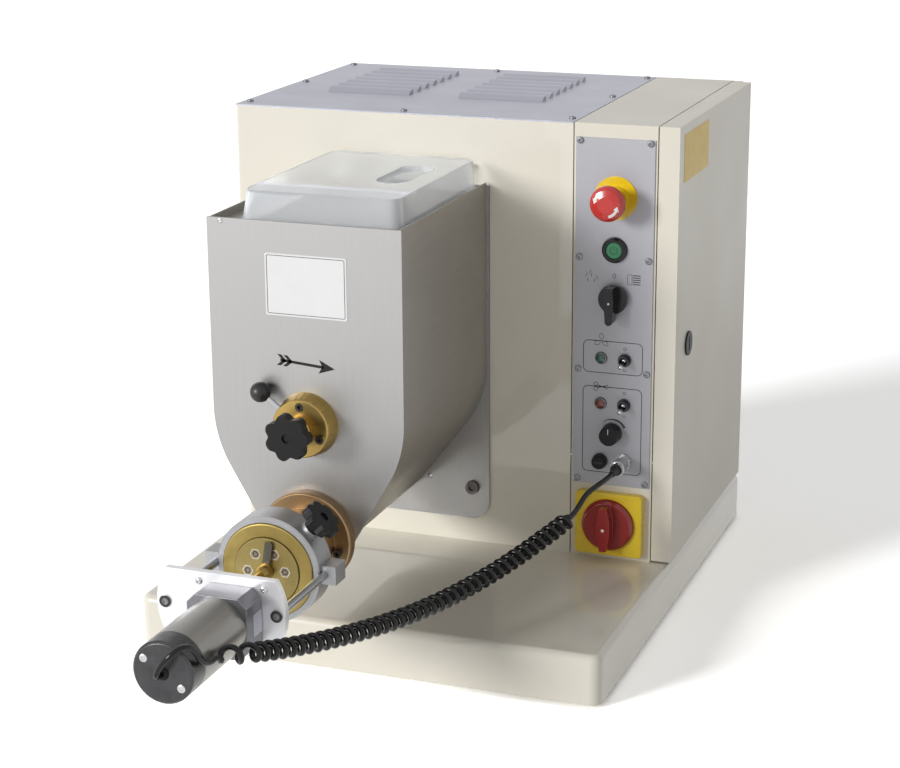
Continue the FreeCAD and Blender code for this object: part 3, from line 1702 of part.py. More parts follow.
def wheel_on(x, z, wheel, turn):
    """Sets a gear that was drawn about z on a shaft along y, turned by the given degrees."""
    wheel = wheel.copy()
    wheel.rotate(Vector(0, 0, 0), Vector(0, 0, 1), turn)
    wheel.rotate(Vector(0, 0, 0), Vector(1, 0, 0), -90)
    wheel.translate(Vector(x, gear_y, z))
    return wheel


def auger_gear():
    return wheel_on(axis_x, auger_level, gear(gear_teeth, auger_core_radius), 0)


def mixer_gear():
    return wheel_on(axis_x, mixer_level, gear(gear_teeth, mixer_shaft_radius), mesh_turn_up(gear_teeth))


def mesh_turn_up(teeth):
    """Turn that puts a gap of the upper gear over the lower gear's tooth or gap below it."""
    lower_phase = (90 / (360 / gear_teeth)) % 1
    wanted = 90 - (lower_phase + 0.5) * 360 / teeth
    return wanted % (360 / teeth)


def drive_pinion():
    """Motor shaft with the pinion cut on it."""
    wheel = wheel_on(pinion_x, auger_level, gear(pinion_teeth, knob_shaft_radius), 180 / pinion_teeth + 180)
    end = frame_back + frame_sheet + drive_shaft_depth
    shaft = bar_y(pinion_x, auger_level, auger_core_radius, frame_front, end)
    return joined([wheel, shaft])


def frame_bores():
    return [(axis_x, auger_level), (axis_x, mixer_level), (pinion_x, auger_level)]


def bearing_frame():
    """Two steel plates on the base, joined by spacers and stood off from the cabinet's front."""
    x0 = axis_x - frame_left
    x1 = axis_x + frame_right
    pieces = []
    for y in (frame_front, frame_back):
        pieces.append(box(x0, x1, y, y + frame_sheet, base_top, frame_top))
    for x in (x0 + spacer_inset, x1 - spacer_inset):
        for z in (base_top + spacer_inset, frame_top - spacer_inset):
            pieces.append(bar_y(x, z, spacer_radius, sheet, frame_back))
    end = frame_back + frame_sheet + 1
    tools = [bar_y(x, z, bearing_radius, frame_front - 1, end) for x, z in frame_bores()]
    return drilled(joined(pieces), tools)


def bearings():
    rings = []
    for x, z in frame_bores():
        radius = mixer_shaft_radius if z == mixer_level else auger_core_radius
        for y in (frame_front, frame_back):
            outer, inner, depth = bearing_groove
            ring = bar_y(x, z, bearing_radius, y, y + bearing_width)
            groove = bar_y(x, z, outer, y - 1, y + depth).cut(bar_y(x, z, inner, y - 2, y + bearing_width))
            bore = bar_y(x, z, radius + running, y - 1, y + bearing_width + 1)
            rings.append(drilled(ring, [bore, groove]))
    return rings


def drive_motor():
    """Flanged motor behind the frame, with cooling ribs and a terminal box."""
    start = frame_back + frame_sheet
    end = start + drive_motor_length
    rib_width, rib_height = drive_rib
    can = drive_motor_radius - rib_height + 2
    pieces = [bar_y(pinion_x, auger_level, can, start, end)]
    for i in range(drive_rib_count):
        rib = box(
            -rib_width / 2, rib_width / 2, start + drive_flange + 2, end,
            drive_motor_radius - rib_height, drive_motor_radius,
        )
        rib.rotate(Vector(0, 0, 0), Vector(0, 1, 0), 360 / drive_rib_count * i)
        rib.translate(Vector(pinion_x, 0, auger_level))
        pieces.append(rib)
    pieces.append(bar_y(pinion_x, auger_level, drive_motor_radius, start, start + drive_flange))
    pieces.append(bar_y(pinion_x, auger_level, drive_motor_radius, end, end + drive_cowl_length))
    wide, long, tall = terminal_box
    low = auger_level + drive_motor_radius - drive_flange
    near = start + terminal_box_start
    pieces.append(box(pinion_x - wide / 2, pinion_x + wide / 2, near, near + long, low, low + tall))
    bore = bar_y(pinion_x, auger_level, auger_core_radius + running, start - 1, start + drive_shaft_depth + 1)
    return joined(pieces).cut(bore)


# Cord

def rounded_path(name, points):
    """Straight runs joined by tangent arcs; each arc is as large as its two runs allow."""
    spots = list(points)
    edges = []
    radii = []
    last = spots[0]
    for i in range(1, len(spots) - 1):
        back = spots[i - 1] - spots[i]
        ahead = spots[i + 1] - spots[i]
        shorter = min(back.Length, ahead.Length)
        back.normalize()
        ahead.normalize()
        half_turn = (math.pi - back.getAngle(ahead)) / 2
        radii.append(round(0.45 * shorter / math.tan(half_turn), 1))
        entry = spots[i] + back * (0.45 * shorter)
        leave = spots[i] + ahead * (0.45 * shorter)
        middle = back + ahead
        middle.normalize()
        radius = 0.45 * shorter / math.tan(half_turn)
        top = spots[i] + middle * (radius / math.cos(half_turn) - radius)
        edges.append(Part.LineSegment(last, entry).toShape())
        edges.append(Part.Arc(entry, top, leave).toShape())
        last = leave
    edges.append(Part.LineSegment(last, spots[-1]).toShape())
    path = Part.Wire(edges)
    print(name, "radii", radii, "length", round(path.Length, 1))
    return path


def tube(name, points, radius):
    path = rounded_path(name, points)
    start = points[0]
    aim = points[1] - start
    circle = Part.Wire([Part.makeCircle(radius, start, aim)])
    solid = path.makePipeShell([circle], True, True)
    swept = math.pi * radius ** 2 * path.Length
    print(name, "volume", round(solid.Volume), "section times length", round(swept))
    return solid


def plug_tip():
    x, z = place(socket_place)
    return Vector(x, -panel_sheet - connector_reach - plug_length - plug_boot_length, z)


def gland_mouth():
    return Vector(motor_x, -gland_front, motor_level)


def panel_tail():
    return [plug_tip()] + [plug_tip() + Vector(*step) for step in plug_to_coil]


def motor_tail():
    """From the coil's end, over a loop ahead of the motor, squarely into the gland's face."""
    bend = gland_mouth() - Vector(0, tail_bend, 0)
    points = [bend + Vector(*step) for step in reversed(bend_to_coil)]
    return points + [bend + Vector(0, tail_bend / 5, 0), gland_mouth()]


def coil_path():
    """The curly stretch hangs between its two tails; each bow point is (part of the way, drop)."""
    start = panel_tail()[-1]
    span = motor_tail()[0] - start
    hanging = [start + span * part - Vector(0, 0, drop) for part, drop in coil_bow]
    return [start] + hanging + [start + span]


coil = tube("coiled_cord", coil_path(), coil_radius)
nodes = {
    "base_plinth": [base_plinth()],
    "rubber_feet": rubber_feet(),
    "cabinet_wrap": [cabinet_wrap()],
    "top_cover": [top_cover()],
    "control_column": [control_column()],
    "side_door": [side_door()],
    "hinge_pins": hinge_pins(),
    "door_latch": [door_latch()],
    "mains_gland": [mains_gland()],
    "button_screws": button_screws(),
    "socket_screws": socket_screws(),
    "panel_plate": [panel_plate()],
    "estop_collar": [estop_collar()],
    "estop_stem": [estop_stem()],
    "estop_head": [estop_head()],
    "start_bezel": [start_bezel()],
    "start_cap": [start_cap()],
    "selector_base": [selector_base()],
    "selector_knob": [selector_knob()],
    "lamps": lamps(),
    "panel_bushes": panel_bushes(),
    "fan_toggle": [toggle_lever(fan_toggle_place)],
    "cutter_toggle": [toggle_lever(cutter_toggle_place)],
    "speed_knob": [speed_knob()],
    "fuse_cap": [fuse_cap()],
    "cord_socket": [cord_socket()],
    "cord_plug": [cord_plug()],
    "isolator_body": [isolator_body()],
    "isolator_handle": [isolator_handle()],
    "contactors": contactors(),
    "hopper_trough": [hopper_trough()],
    "hopper_front_plate": [hopper_front_plate()],
    "hopper_back_plate": [hopper_back_plate()],
    "clear_lid": [clear_lid()],
    "mixer_hub": [mixer_hub()],
    "lock_lever": [lock_lever()],
    "mixer_knob": [mixer_knob()],
    "mixer_shaft": [mixer_shaft()],
    "mixer_gear": [mixer_gear()],
    "auger": [auger()],
    "auger_gear": [auger_gear()],
    "barrel": [barrel()],
    "die_nut": [die_nut()],
    "die_plate": die_plate(),
    "clamp_ring": [clamp_ring()],
    "ring_knob": [ring_knob()],
    "guide_rods": guide_rods(),
    "motor_plate": [motor_plate()],
    "cutter_gearbox": [cutter_gearbox()],
    "cutter_motor": [cutter_motor()],
    "motor_end_cap": [motor_end_cap()],
    "cable_gland": [cable_gland()],
    "knife": [knife()],
    "bearing_frame": [bearing_frame()],
    "bearings": bearings(),
    "drive_pinion": [drive_pinion()],
    "drive_motor": [drive_motor()],
    "coiled_cord": [coil],
    "cord_tail_panel": [drilled(tube("cord_tail_panel", panel_tail(), cord_radius), [coil, cord_plug()])],
    "cord_tail_motor": [tube("cord_tail_motor", motor_tail(), cord_radius).cut(coil)],
}

for node, solids in nodes.items():
    write(node, solids)
print(len(nodes), "nodes written, shifted by", origin_shift)
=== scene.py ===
import json
import math

import bmesh
import bpy
import numpy as np
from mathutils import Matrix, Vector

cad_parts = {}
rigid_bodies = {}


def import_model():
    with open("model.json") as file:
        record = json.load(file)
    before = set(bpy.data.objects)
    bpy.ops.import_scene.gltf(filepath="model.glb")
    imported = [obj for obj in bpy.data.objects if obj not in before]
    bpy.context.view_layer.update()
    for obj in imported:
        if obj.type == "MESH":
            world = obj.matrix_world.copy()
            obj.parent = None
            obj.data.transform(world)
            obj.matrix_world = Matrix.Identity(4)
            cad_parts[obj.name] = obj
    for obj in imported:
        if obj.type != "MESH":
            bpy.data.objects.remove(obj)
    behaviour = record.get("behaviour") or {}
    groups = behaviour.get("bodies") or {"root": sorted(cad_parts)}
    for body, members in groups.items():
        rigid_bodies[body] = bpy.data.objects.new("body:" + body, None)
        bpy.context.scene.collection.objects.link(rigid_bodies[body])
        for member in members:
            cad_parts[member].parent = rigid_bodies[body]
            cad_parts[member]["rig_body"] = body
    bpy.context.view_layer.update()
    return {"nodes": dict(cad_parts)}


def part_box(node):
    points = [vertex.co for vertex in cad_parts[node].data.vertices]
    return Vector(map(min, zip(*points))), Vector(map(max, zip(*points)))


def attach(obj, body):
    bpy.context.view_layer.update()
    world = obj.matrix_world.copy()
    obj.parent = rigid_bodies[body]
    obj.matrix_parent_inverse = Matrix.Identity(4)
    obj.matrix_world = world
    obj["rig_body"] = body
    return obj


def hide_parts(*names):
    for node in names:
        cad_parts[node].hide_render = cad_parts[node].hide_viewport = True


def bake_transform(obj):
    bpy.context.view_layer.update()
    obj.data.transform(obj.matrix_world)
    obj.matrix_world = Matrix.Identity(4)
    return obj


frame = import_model()
cad = frame["nodes"]
scene = bpy.context.scene
scene.view_settings.view_transform = "Standard"


# Camera: a long lens at the height of a standing buyer's chest, a little to the right of the
# machine, looking down at its front. Its place and turn follow the corners of the cabinet,
# the hopper and the base in the photograph.

camera_place = (0.83721, -2.1243, 0.96169)
camera_turn = (1.28346, 0.00661, 0.35354)
camera_lens = 86.61
sensor_width = 36.0

camera = bpy.data.objects.new("camera", bpy.data.cameras.new("camera"))
camera.data.sensor_width = sensor_width
camera.data.lens = camera_lens
camera.location = camera_place
camera.rotation_euler = camera_turn
scene.collection.objects.link(camera)
scene.camera = camera


# Curly cord: a black polyurethane cable wound into a springy coil, with a plain tail at each
# end. It leaves the boot of the round plug on the panel, sags under its own weight and loops
# over into the gland on the cutter motor's end cap.

cable_radius = 0.003
coil_reach = 0.0105
coil_turns = 43
loose_turns = 2
loose_pitch = 2.0
turn_points = 24
cable_sides = 12
tail_step = 0.0015
route_steps = 40
jacket_black = (10, 10, 11)

panel_tail = [
    (0.2084, 0.0870, 0.1776), (0.2053, 0.0705, 0.1755), (0.1913, 0.0485, 0.1670),
    (0.1853, 0.0390, 0.1540), (0.1808, 0.0245, 0.1450),
]
coil_bow = [
    (0.085, 0.0110), (0.174, 0.0211), (0.278, 0.0303), (0.423, 0.0370),
    (0.561, 0.0363), (0.713, 0.0290), (0.852, 0.0173), (0.932, 0.0074),
]
motor_tail = [
    (-0.0115, -0.4640, 0.1525), (-0.0135, -0.4730, 0.1500), (-0.0160, -0.4850, 0.1540),
    (-0.0185, -0.4970, 0.1740), (-0.0240, -0.5095, 0.1790), (-0.0340, -0.5165, 0.1700),
    (-0.0440, -0.5155, 0.1585), (-0.0511, -0.5125, 0.1440), (-0.0511, -0.5005, 0.1440),
]
coil_start = np.array(panel_tail[-1])
coil_end = np.array(motor_tail[0])


def linear(colour):
    """Display colour, each part from 0 to 255, as the linear colour that a shader takes."""
    part = np.array(colour) / 255
    value = np.where(part <= 0.04045, part / 12.92, ((part + 0.055) / 1.055) ** 2.4)
    return (*value, 1.0)


def shader_group(name, given, made):
    """Empty shader group: given maps its input names to default values, made names its outputs."""
    group = bpy.data.node_groups.new(name, "ShaderNodeTree")
    for label, value in given.items():
        kind = "NodeSocketFloat" if isinstance(value, float) else "NodeSocketVector"
        group.interface.new_socket(label, in_out="INPUT", socket_type=kind).default_value = value
    for label in made:
        group.interface.new_socket(label, in_out="OUTPUT", socket_type="NodeSocketFloat")
    return group


def grain_group():
    """Random grain: soft noise whose lumps are as wide as the size, stretched over the full 0 to 1."""
    group = shader_group("grain", {"Place": (0.0, 0.0, 0.0), "Size": 0.001, "Detail": 2.0}, ["Mask"])
    nodes, links = group.nodes, group.links
    given, made = nodes.new("NodeGroupInput"), nodes.new("NodeGroupOutput")
    rate = nodes.new("ShaderNodeMath")
    rate.operation = "DIVIDE"
    rate.inputs[0].default_value = 1.0
    noise = nodes.new("ShaderNodeTexNoise")
    spread = nodes.new("ShaderNodeMapRange")
    spread.inputs["From Min"].default_value = 0.28
    spread.inputs["From Max"].default_value = 0.72
    links.new(given.outputs["Size"], rate.inputs[1])
    links.new(given.outputs["Place"], noise.inputs["Vector"])
    links.new(rate.outputs[0], noise.inputs["Scale"])
    links.new(given.outputs["Detail"], noise.inputs["Detail"])
    links.new(noise.outputs["Fac"], spread.inputs["Value"])
    links.new(spread.outputs["Result"], made.inputs["Mask"])
    return group


def within_group():
    """1 inside the ellipsoid whose half-axes are the reach, and 0 outside it."""
    group = shader_group("within", {"Place": (0.0, 0.0, 0.0), "Reach": (1.0, 1.0, 1.0)}, ["Mask"])
    nodes, links = group.nodes, group.links
    given, made = nodes.new("NodeGroupInput"), nodes.new("NodeGroupOutput")
    part = nodes.new("ShaderNodeVectorMath")
    part.operation = "DIVIDE"
    length = nodes.new("ShaderNodeVectorMath")
    length.operation = "LENGTH"
    inside = nodes.new("ShaderNodeMath")
    inside.operation = "LESS_THAN"
    inside.inputs[1].default_value = 1.0
    links.new(given.outputs["Place"], part.inputs[0])
    links.new(given.outputs["Reach"], part.inputs[1])
    links.new(part.outputs["Vector"], length.inputs[0])
    links.new(length.outputs["Value"], inside.inputs[0])
    links.new(inside.outputs[0], made.inputs["Mask"])
    return group


def place_of(material, middle=(0, 0, 0), turn=(0, 0, 0)):
    """Object coordinates with the pattern's middle and turn taken off them."""
    nodes = material.node_tree.nodes
    source = nodes.new("ShaderNodeTexCoord")
    mapping = nodes.new("ShaderNodeMapping")
    mapping.vector_type = "TEXTURE"
    mapping.inputs["Location"].default_value = middle
    mapping.inputs["Rotation"].default_value = turn
    material.node_tree.links.new(source.outputs["Object"], mapping.inputs["Vector"])
    return mapping.outputs["Vector"]


def mask_from(material, group, middle=(0, 0, 0), turn=(0, 0, 0), **sizes):
    """Places a shader group in the material and returns its mask."""
    holder = material.node_tree.nodes.new("ShaderNodeGroup")
    holder.node_tree = group
    for label, value in sizes.items():
        holder.inputs[label.replace("_", " ").capitalize()].default_value = value
    material.node_tree.links.new(place_of(material, middle, turn), holder.inputs["Place"])
    return holder.outputs["Mask"]


def finish(name, colour, roughness, metallic=0.0, coat=0.0, shine=0.5):
    """Bare finish: one colour, roughness, metalness and shine, with or without a clear coat."""
    material = bpy.data.materials.new(name)
    material.use_nodes = True
    shader = material.node_tree.nodes["Principled BSDF"]
    shader.inputs["Base Color"].default_value = linear(colour)
    shader.inputs["Roughness"].default_value = roughness
    shader.inputs["Metallic"].default_value = metallic
    shader.inputs["Specular IOR Level"].default_value = shine
    shader.inputs["Coat Weight"].default_value = coat
    shader.inputs["Coat Roughness"].default_value = 0.04
    return material


def plated(name, colour, dark, roughness, size=0.002, more=0.12, metallic=1.0):
    """Plated or filmed metal with darker, rougher spots of the size."""
    metal = finish(name, colour, roughness, metallic)
    mottle(metal, size, dark, share=0.4, roughness=more, detail=3.0)
    return metal


def hand_over(tree, taken, given):
    """Moves what feeds one socket, a link or a constant, on to another."""
    if taken.is_linked:
        tree.links.new(taken.links[0].from_socket, given)
    else:
        given.default_value = taken.default_value


def lay_over(material, mask, colour=None, share=1.0, roughness=0.0, metallic=0.0, height=0.0):
    """Where the mask is 1 the colour shows by its share, the roughness and the metalness are that
    much more, and the surface stands the height proud, in metres."""
    tree = material.node_tree
    shader = tree.nodes["Principled BSDF"]
    if colour:
        amount = tree.nodes.new("ShaderNodeMath")
        amount.operation = "MULTIPLY"
        amount.inputs[1].default_value = share
        tree.links.new(mask, amount.inputs[0])
        blend = tree.nodes.new("ShaderNodeMix")
        blend.data_type = "RGBA"
        tree.links.new(amount.outputs[0], blend.inputs[0])
        hand_over(tree, shader.inputs["Base Color"], blend.inputs[6])
        blend.inputs[7].default_value = linear(colour)
        tree.links.new(blend.outputs[2], shader.inputs["Base Color"])
    for label, extra in (("Roughness", roughness), ("Metallic", metallic)):
        if extra:
            more = tree.nodes.new("ShaderNodeMath")
            more.operation = "MULTIPLY_ADD"
            more.inputs[1].default_value = extra
            tree.links.new(mask, more.inputs[0])
            hand_over(tree, shader.inputs[label], more.inputs[2])
            tree.links.new(more.outputs[0], shader.inputs[label])
    if height:
        bump = tree.nodes.new("ShaderNodeBump")
        bump.inputs["Strength"].default_value = 1.0
        bump.inputs["Distance"].default_value = height
        tree.links.new(mask, bump.inputs["Height"])
        if shader.inputs["Normal"].is_linked:
            hand_over(tree, shader.inputs["Normal"], bump.inputs["Normal"])
        tree.links.new(bump.outputs["Normal"], shader.inputs["Normal"])


def mottle(material, size, colour=None, share=1.0, roughness=0.0, height=0.0, detail=2.0):
    """Lays random lumps as wide as the size over the material."""
    mask = mask_from(material, grain, size=size, detail=detail)
    lay_over(material, mask, colour, share, roughness=roughness, height=height)


def paint_within(material, middle, reach, colour, roughness=0.0, metallic=0.0):
    """Lays a colour over the part of the material inside an ellipsoid."""
    mask = mask_from(material, within, middle=middle, reach=reach)
    lay_over(material, mask, colour, roughness=roughness, metallic=metallic)


def quads(rows, columns, wrap_rows=False, wrap_columns=True):
    """Four-sided faces of a grid of points that is numbered row by row."""
    i, j = np.meshgrid(
        np.arange(rows if wrap_rows else rows - 1),
        np.arange(columns if wrap_columns else columns - 1), indexing="ij",
    )
    below, beside = (i + 1) % rows, (j + 1) % columns
    corners = (i * columns + j, i * columns + beside, below * columns + beside, below * columns + j)
    return np.stack(corners, axis=-1).reshape(-1, 4)


def new_piece(name, points, faces, material, crease=35.0):
    """Object at the origin from points and faces: seams and poles are merged, the faces point
    outwards, and edges that turn by more than the crease angle stay sharp."""
    mesh = bpy.data.meshes.new(name)
    mesh.from_pydata(points.reshape(-1, 3).tolist(), [], faces.tolist())
    shape = bmesh.new()
    shape.from_mesh(mesh)
    bmesh.ops.remove_doubles(shape, verts=shape.verts, dist=1e-6)
    bmesh.ops.recalc_face_normals(shape, faces=shape.faces)
    shape.to_mesh(mesh)
    shape.free()
    mesh.shade_smooth()
    mesh.set_sharp_from_angle(angle=math.radians(crease))
    mesh.materials.append(material)
    piece = bpy.data.objects.new(name, mesh)
    scene.collection.objects.link(piece)
    return piece


def route_line(points):
    """Points along the quadratic B-spline of the route, clamped at both ends."""
    curve = bpy.data.curves.new("cord_route", "CURVE")
    curve.dimensions = "3D"
    curve.resolution_u = route_steps
    spline = curve.splines.new("NURBS")
    spline.points.add(len(points) - 1)
    spline.points.foreach_set("co", np.c_[points, np.ones(len(points))].ravel())
    spline.order_u = 3
    spline.use_endpoint_u = True
    holder = bpy.data.objects.new("cord_route", curve)
    mesh = bpy.data.meshes.new_from_object(holder)
    line = np.empty(3 * len(mesh.vertices))
    mesh.vertices.foreach_get("co", line)
    bpy.data.meshes.remove(mesh)
    bpy.data.objects.remove(holder)
    bpy.data.curves.remove(curve)
    return line.reshape(-1, 3)


def unit(vectors):
    """Each vector at length 1."""
    return vectors / np.linalg.norm(vectors, axis=-1, keepdims=True)


def soft_step(value):
    """0 below 0, 1 above 1, and a smooth rise between."""
    held = np.clip(value, 0, 1)
    return held * held * (3 - 2 * held)


def cord_line():
    """Centre line of the cable: the route, plus a turning arm as long as the coil's radius. The arm
    grows from nothing over the first turn and shrinks to nothing over the last one; the turns
    nearest the motor are pulled apart."""
    hanging = [coil_start + (coil_end - coil_start) * part - (0, 0, drop) for part, drop in coil_bow]
    route = route_line(np.array([*panel_tail, *hanging, *motor_tail]))
    along = np.r_[0, np.cumsum(np.linalg.norm(np.diff(route, axis=0), axis=1))]
    first = along[np.argmin(np.linalg.norm(route - coil_start, axis=1))]
    last = along[np.argmin(np.linalg.norm(route - coil_end, axis=1))]
    pitch = (last - first) / (coil_turns + loose_turns * (loose_pitch - 1))
    loose_from = last - loose_turns * loose_pitch * pitch
    stations = np.concatenate([
        np.arange(0, first, tail_step), np.linspace(first, last, coil_turns * turn_points),
        np.arange(last + tail_step, along[-1], tail_step), along[-1:],
    ])
    centre = np.stack([np.interp(stations, along, route[:, axis]) for axis in range(3)], axis=1)
    ahead = unit(np.gradient(centre, stations, axis=0))
    side = unit(np.cross(ahead, (1.0, 0.0, 0.0)))
    up = np.cross(side, ahead)
    turns = np.interp(stations, (first, loose_from, last), (0, coil_turns - loose_turns, coil_turns))
    turned = 2 * np.pi * turns[:, None]
    arm = np.cos(turned) * up + np.sin(turned) * side
    swell = soft_step((stations - first) / pitch) * soft_step((last - stations) / pitch)
    return centre + arm * ((coil_reach - cable_radius) * swell)[:, None], arm


def tube(line, arm, radius, sides):
    """Round tube: a circle of the radius about every point of the line, square to it, closed at
    both ends by a point on the line."""
    ahead = unit(np.gradient(line, axis=0))
    side = unit(np.cross(ahead, arm))
    out = np.cross(side, ahead)
    turn = np.linspace(0, 2 * np.pi, sides, endpoint=False)[None, :, None]
    rings = line[:, None] + radius * (np.cos(turn) * out[:, None] + np.sin(turn) * side[:, None])
    ends = np.repeat(line[[0, -1], None], sides, axis=1)
    return np.concatenate([ends[:1], rings, ends[1:]]), quads(len(line) + 2, sides)


grain = grain_group()
within = within_group()
far = 9.0
jacket = finish("cord jacket", jacket_black, 0.14, shine=0.3)
mottle(jacket, 0.012, colour=(20, 20, 20), share=0.35, roughness=0.08, detail=3.0)
mottle(jacket, 0.0006, height=4e-6)

cable, arm = cord_line()
curly_cord = new_piece("curly_cord", *tube(cable, arm, cable_radius, cable_sides), jacket, crease=60.0)
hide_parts("coiled_cord", "cord_tail_panel", "cord_tail_motor")
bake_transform(curly_cord)


# Studio: a white floor that runs to the horizon, one soft key light from the left at little more
# than the machine's own height, and a white surround that only the camera, metal and glass see
# in full. The floor is brighter to the eye than as a source of light.

floor_half = 60.0
floor_colour = (231, 231, 231)
floor_gain = 3.0
surround_light = 0.30
key_from = (-0.58, -0.80, 0.27)
key_strength = 2.45
key_angle = 17.0


def seen_directly(tree):
    """1 for rays that come from the camera, a mirror or glass, and 0 for those that only light."""
    path = tree.nodes.new("ShaderNodeLightPath")
    first = tree.nodes.new("ShaderNodeMath")
    both = tree.nodes.new("ShaderNodeMath")
    first.operation = both.operation = "MAXIMUM"
    tree.links.new(path.outputs["Is Camera Ray"], first.inputs[0])
    tree.links.new(path.outputs["Is Glossy Ray"], first.inputs[1])
    tree.links.new(first.outputs[0], both.inputs[0])
    tree.links.new(path.outputs["Is Transmission Ray"], both.inputs[1])
    return both.outputs[0]


def scaled(tree, value, times, plus):
    """The value times one number plus another."""
    sum_node = tree.nodes.new("ShaderNodeMath")
    sum_node.operation = "MULTIPLY_ADD"
    sum_node.inputs[1].default_value = times
    sum_node.inputs[2].default_value = plus
    tree.links.new(value, sum_node.inputs[0])
    return sum_node.outputs[0]


def soft_lamp(name, direction, strength, angle):
    """Sunlike lamp as wide as the angle, shining from the direction."""
    lamp = bpy.data.objects.new(name, bpy.data.lights.new(name, "SUN"))
    lamp.data.energy = strength
    lamp.data.angle = math.radians(angle)
    x, y, z = direction
    lamp.rotation_euler = (0, math.atan2(math.hypot(x, y), z), math.atan2(y, x))
    scene.collection.objects.link(lamp)


world = bpy.data.worlds.new("surround")
scene.world = world
world.use_nodes = True
background = world.node_tree.nodes["Background"]
background.inputs["Color"].default_value = (1, 1, 1, 1)
world.node_tree.links.new(
    scaled(world.node_tree, seen_directly(world.node_tree), 1 - surround_light, surround_light),
    background.inputs["Strength"],
)
soft_lamp("key", key_from, key_strength, key_angle)

paper = finish("studio floor", floor_colour, 0.9)
paper_shader = paper.node_tree.nodes["Principled BSDF"]
paper_shader.inputs["Specular IOR Level"].default_value = 0.0
floor_level = linear(floor_colour)[0]
paper.node_tree.links.new(
    scaled(paper.node_tree, seen_directly(paper.node_tree), floor_level * (floor_gain - 1), floor_level),
    paper_shader.inputs["Base Color"],
)
floor_corners = np.array([[(-1, -1, 0), (1, -1, 0)], [(-1, 1, 0), (1, 1, 0)]]) * floor_half
studio_floor = new_piece("studio_floor", floor_corners, quads(2, 2, wrap_columns=False), paper)


# Painted shell: the base, the cabinet's bent wrap, the control column and the side door are
# folded steel sheet with welded corners, under a glossy cream powder coat with a faint orange
# peel. The pieces meet in narrow open seams.

cream_colour = (232, 227, 213)
cream_shade = (214, 208, 192)
peel_size = 0.0035
peel_height = 6e-6


def dress(material, *names):
    """The CAD pieces take the material."""
    for name in names:
        cad[name].data.materials.clear()
        cad[name].data.materials.append(material)


def eased(name, width, material, angle=40.0):
    """Copy of a CAD piece that stands for it, with every edge sharper than the angle rounded."""
    mesh = cad[name].data.copy()
    shape = bmesh.new()
    shape.from_mesh(mesh)
    bmesh.ops.remove_doubles(shape, verts=shape.verts, dist=1e-6)
    bmesh.ops.dissolve_limit(
        shape, angle_limit=math.radians(0.6), use_dissolve_boundaries=False,
        verts=shape.verts, edges=shape.edges, delimit=set(),
    )
    shape.to_mesh(mesh)
    shape.free()
    if "custom_normal" in mesh.attributes:
        mesh.attributes.remove(mesh.attributes["custom_normal"])
    mesh.shade_smooth()
    mesh.set_sharp_from_angle(angle=math.radians(angle))
    mesh.materials.clear()
    mesh.materials.append(material)
    piece = bpy.data.objects.new(name + "_eased", mesh)
    scene.collection.objects.link(piece)
    bevel = piece.modifiers.new("eased edges", "BEVEL")
    bevel.width = width
    bevel.segments = 2
    bevel.limit_method = "ANGLE"
    bevel.angle_limit = math.radians(angle)
    bevel.harden_normals = True
    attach(piece, cad[name]["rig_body"])
    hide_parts(name)
    return piece


def cream_coat(name, coat, shine):
    """Cream powder coat with faint clouds and orange peel, more or less glossy."""
    cream = finish(name, cream_colour, 0.34, coat=coat, shine=shine)
    mottle(cream, 0.11, colour=cream_shade, share=0.16, roughness=0.10, detail=3.0)
    mottle(cream, peel_size, height=peel_height)
    return cream


cream = cream_coat("cream powder coat", 1.0, 0.5)
calm_cream = cream_coat("calm cream powder coat", 0.15, 0.25)
for name, width, material in (
    ("cabinet_wrap", 0.0006, cream), ("base_plinth", 0.0006, cream),
    ("control_column", 0.0006, calm_cream), ("side_door", 0.0008, calm_cream),
):
    eased(name, width, material)


# Feet: four low rubber pads under the base, moulded matt, with a little dust in the grain.

rubber = finish("foot rubber", (36, 36, 38), 0.75)
mottle(rubber, 0.02, colour=(78, 76, 72), share=0.3, detail=4.0)
mottle(rubber, 0.0007, height=2e-5)
dress(rubber, "rubber_feet")


# Top cover: a brushed stainless sheet with two groups of pressed louvres, screwed down along
# its edges. The brushing runs from side to side.

cover_colour = (172, 173, 183)
brushed_length = 0.09
brushed_width = 0.0005
lengthwise = (0, 0, math.pi / 2)
upright = (0, math.pi / 2, 0)


def brush_group():
    """Brush lines along x: noise whose coordinates are divided by the line's length and width."""
    group = shader_group(
        "brush lines", {"Place": (0.0, 0.0, 0.0), "Length": 0.08, "Width": 0.0005}, ["Mask"],
    )
    nodes, links = group.nodes, group.links
    given, made = nodes.new("NodeGroupInput"), nodes.new("NodeGroupOutput")
    size = nodes.new("ShaderNodeCombineXYZ")
    squeezed = nodes.new("ShaderNodeVectorMath")
    squeezed.operation = "DIVIDE"
    noise = nodes.new("ShaderNodeTexNoise")
    noise.inputs["Scale"].default_value = 1.0
    noise.inputs["Detail"].default_value = 3.0
    spread = nodes.new("ShaderNodeMapRange")
    spread.inputs["From Min"].default_value = 0.25
    spread.inputs["From Max"].default_value = 0.75
    links.new(given.outputs["Length"], size.inputs["X"])
    links.new(given.outputs["Width"], size.inputs["Y"])
    links.new(given.outputs["Width"], size.inputs["Z"])
    links.new(given.outputs["Place"], squeezed.inputs[0])
    links.new(size.outputs["Vector"], squeezed.inputs[1])
    links.new(squeezed.outputs["Vector"], noise.inputs["Vector"])
    links.new(noise.outputs["Fac"], spread.inputs["Value"])
    links.new(spread.outputs["Result"], made.inputs["Mask"])
    return group


brush = brush_group()


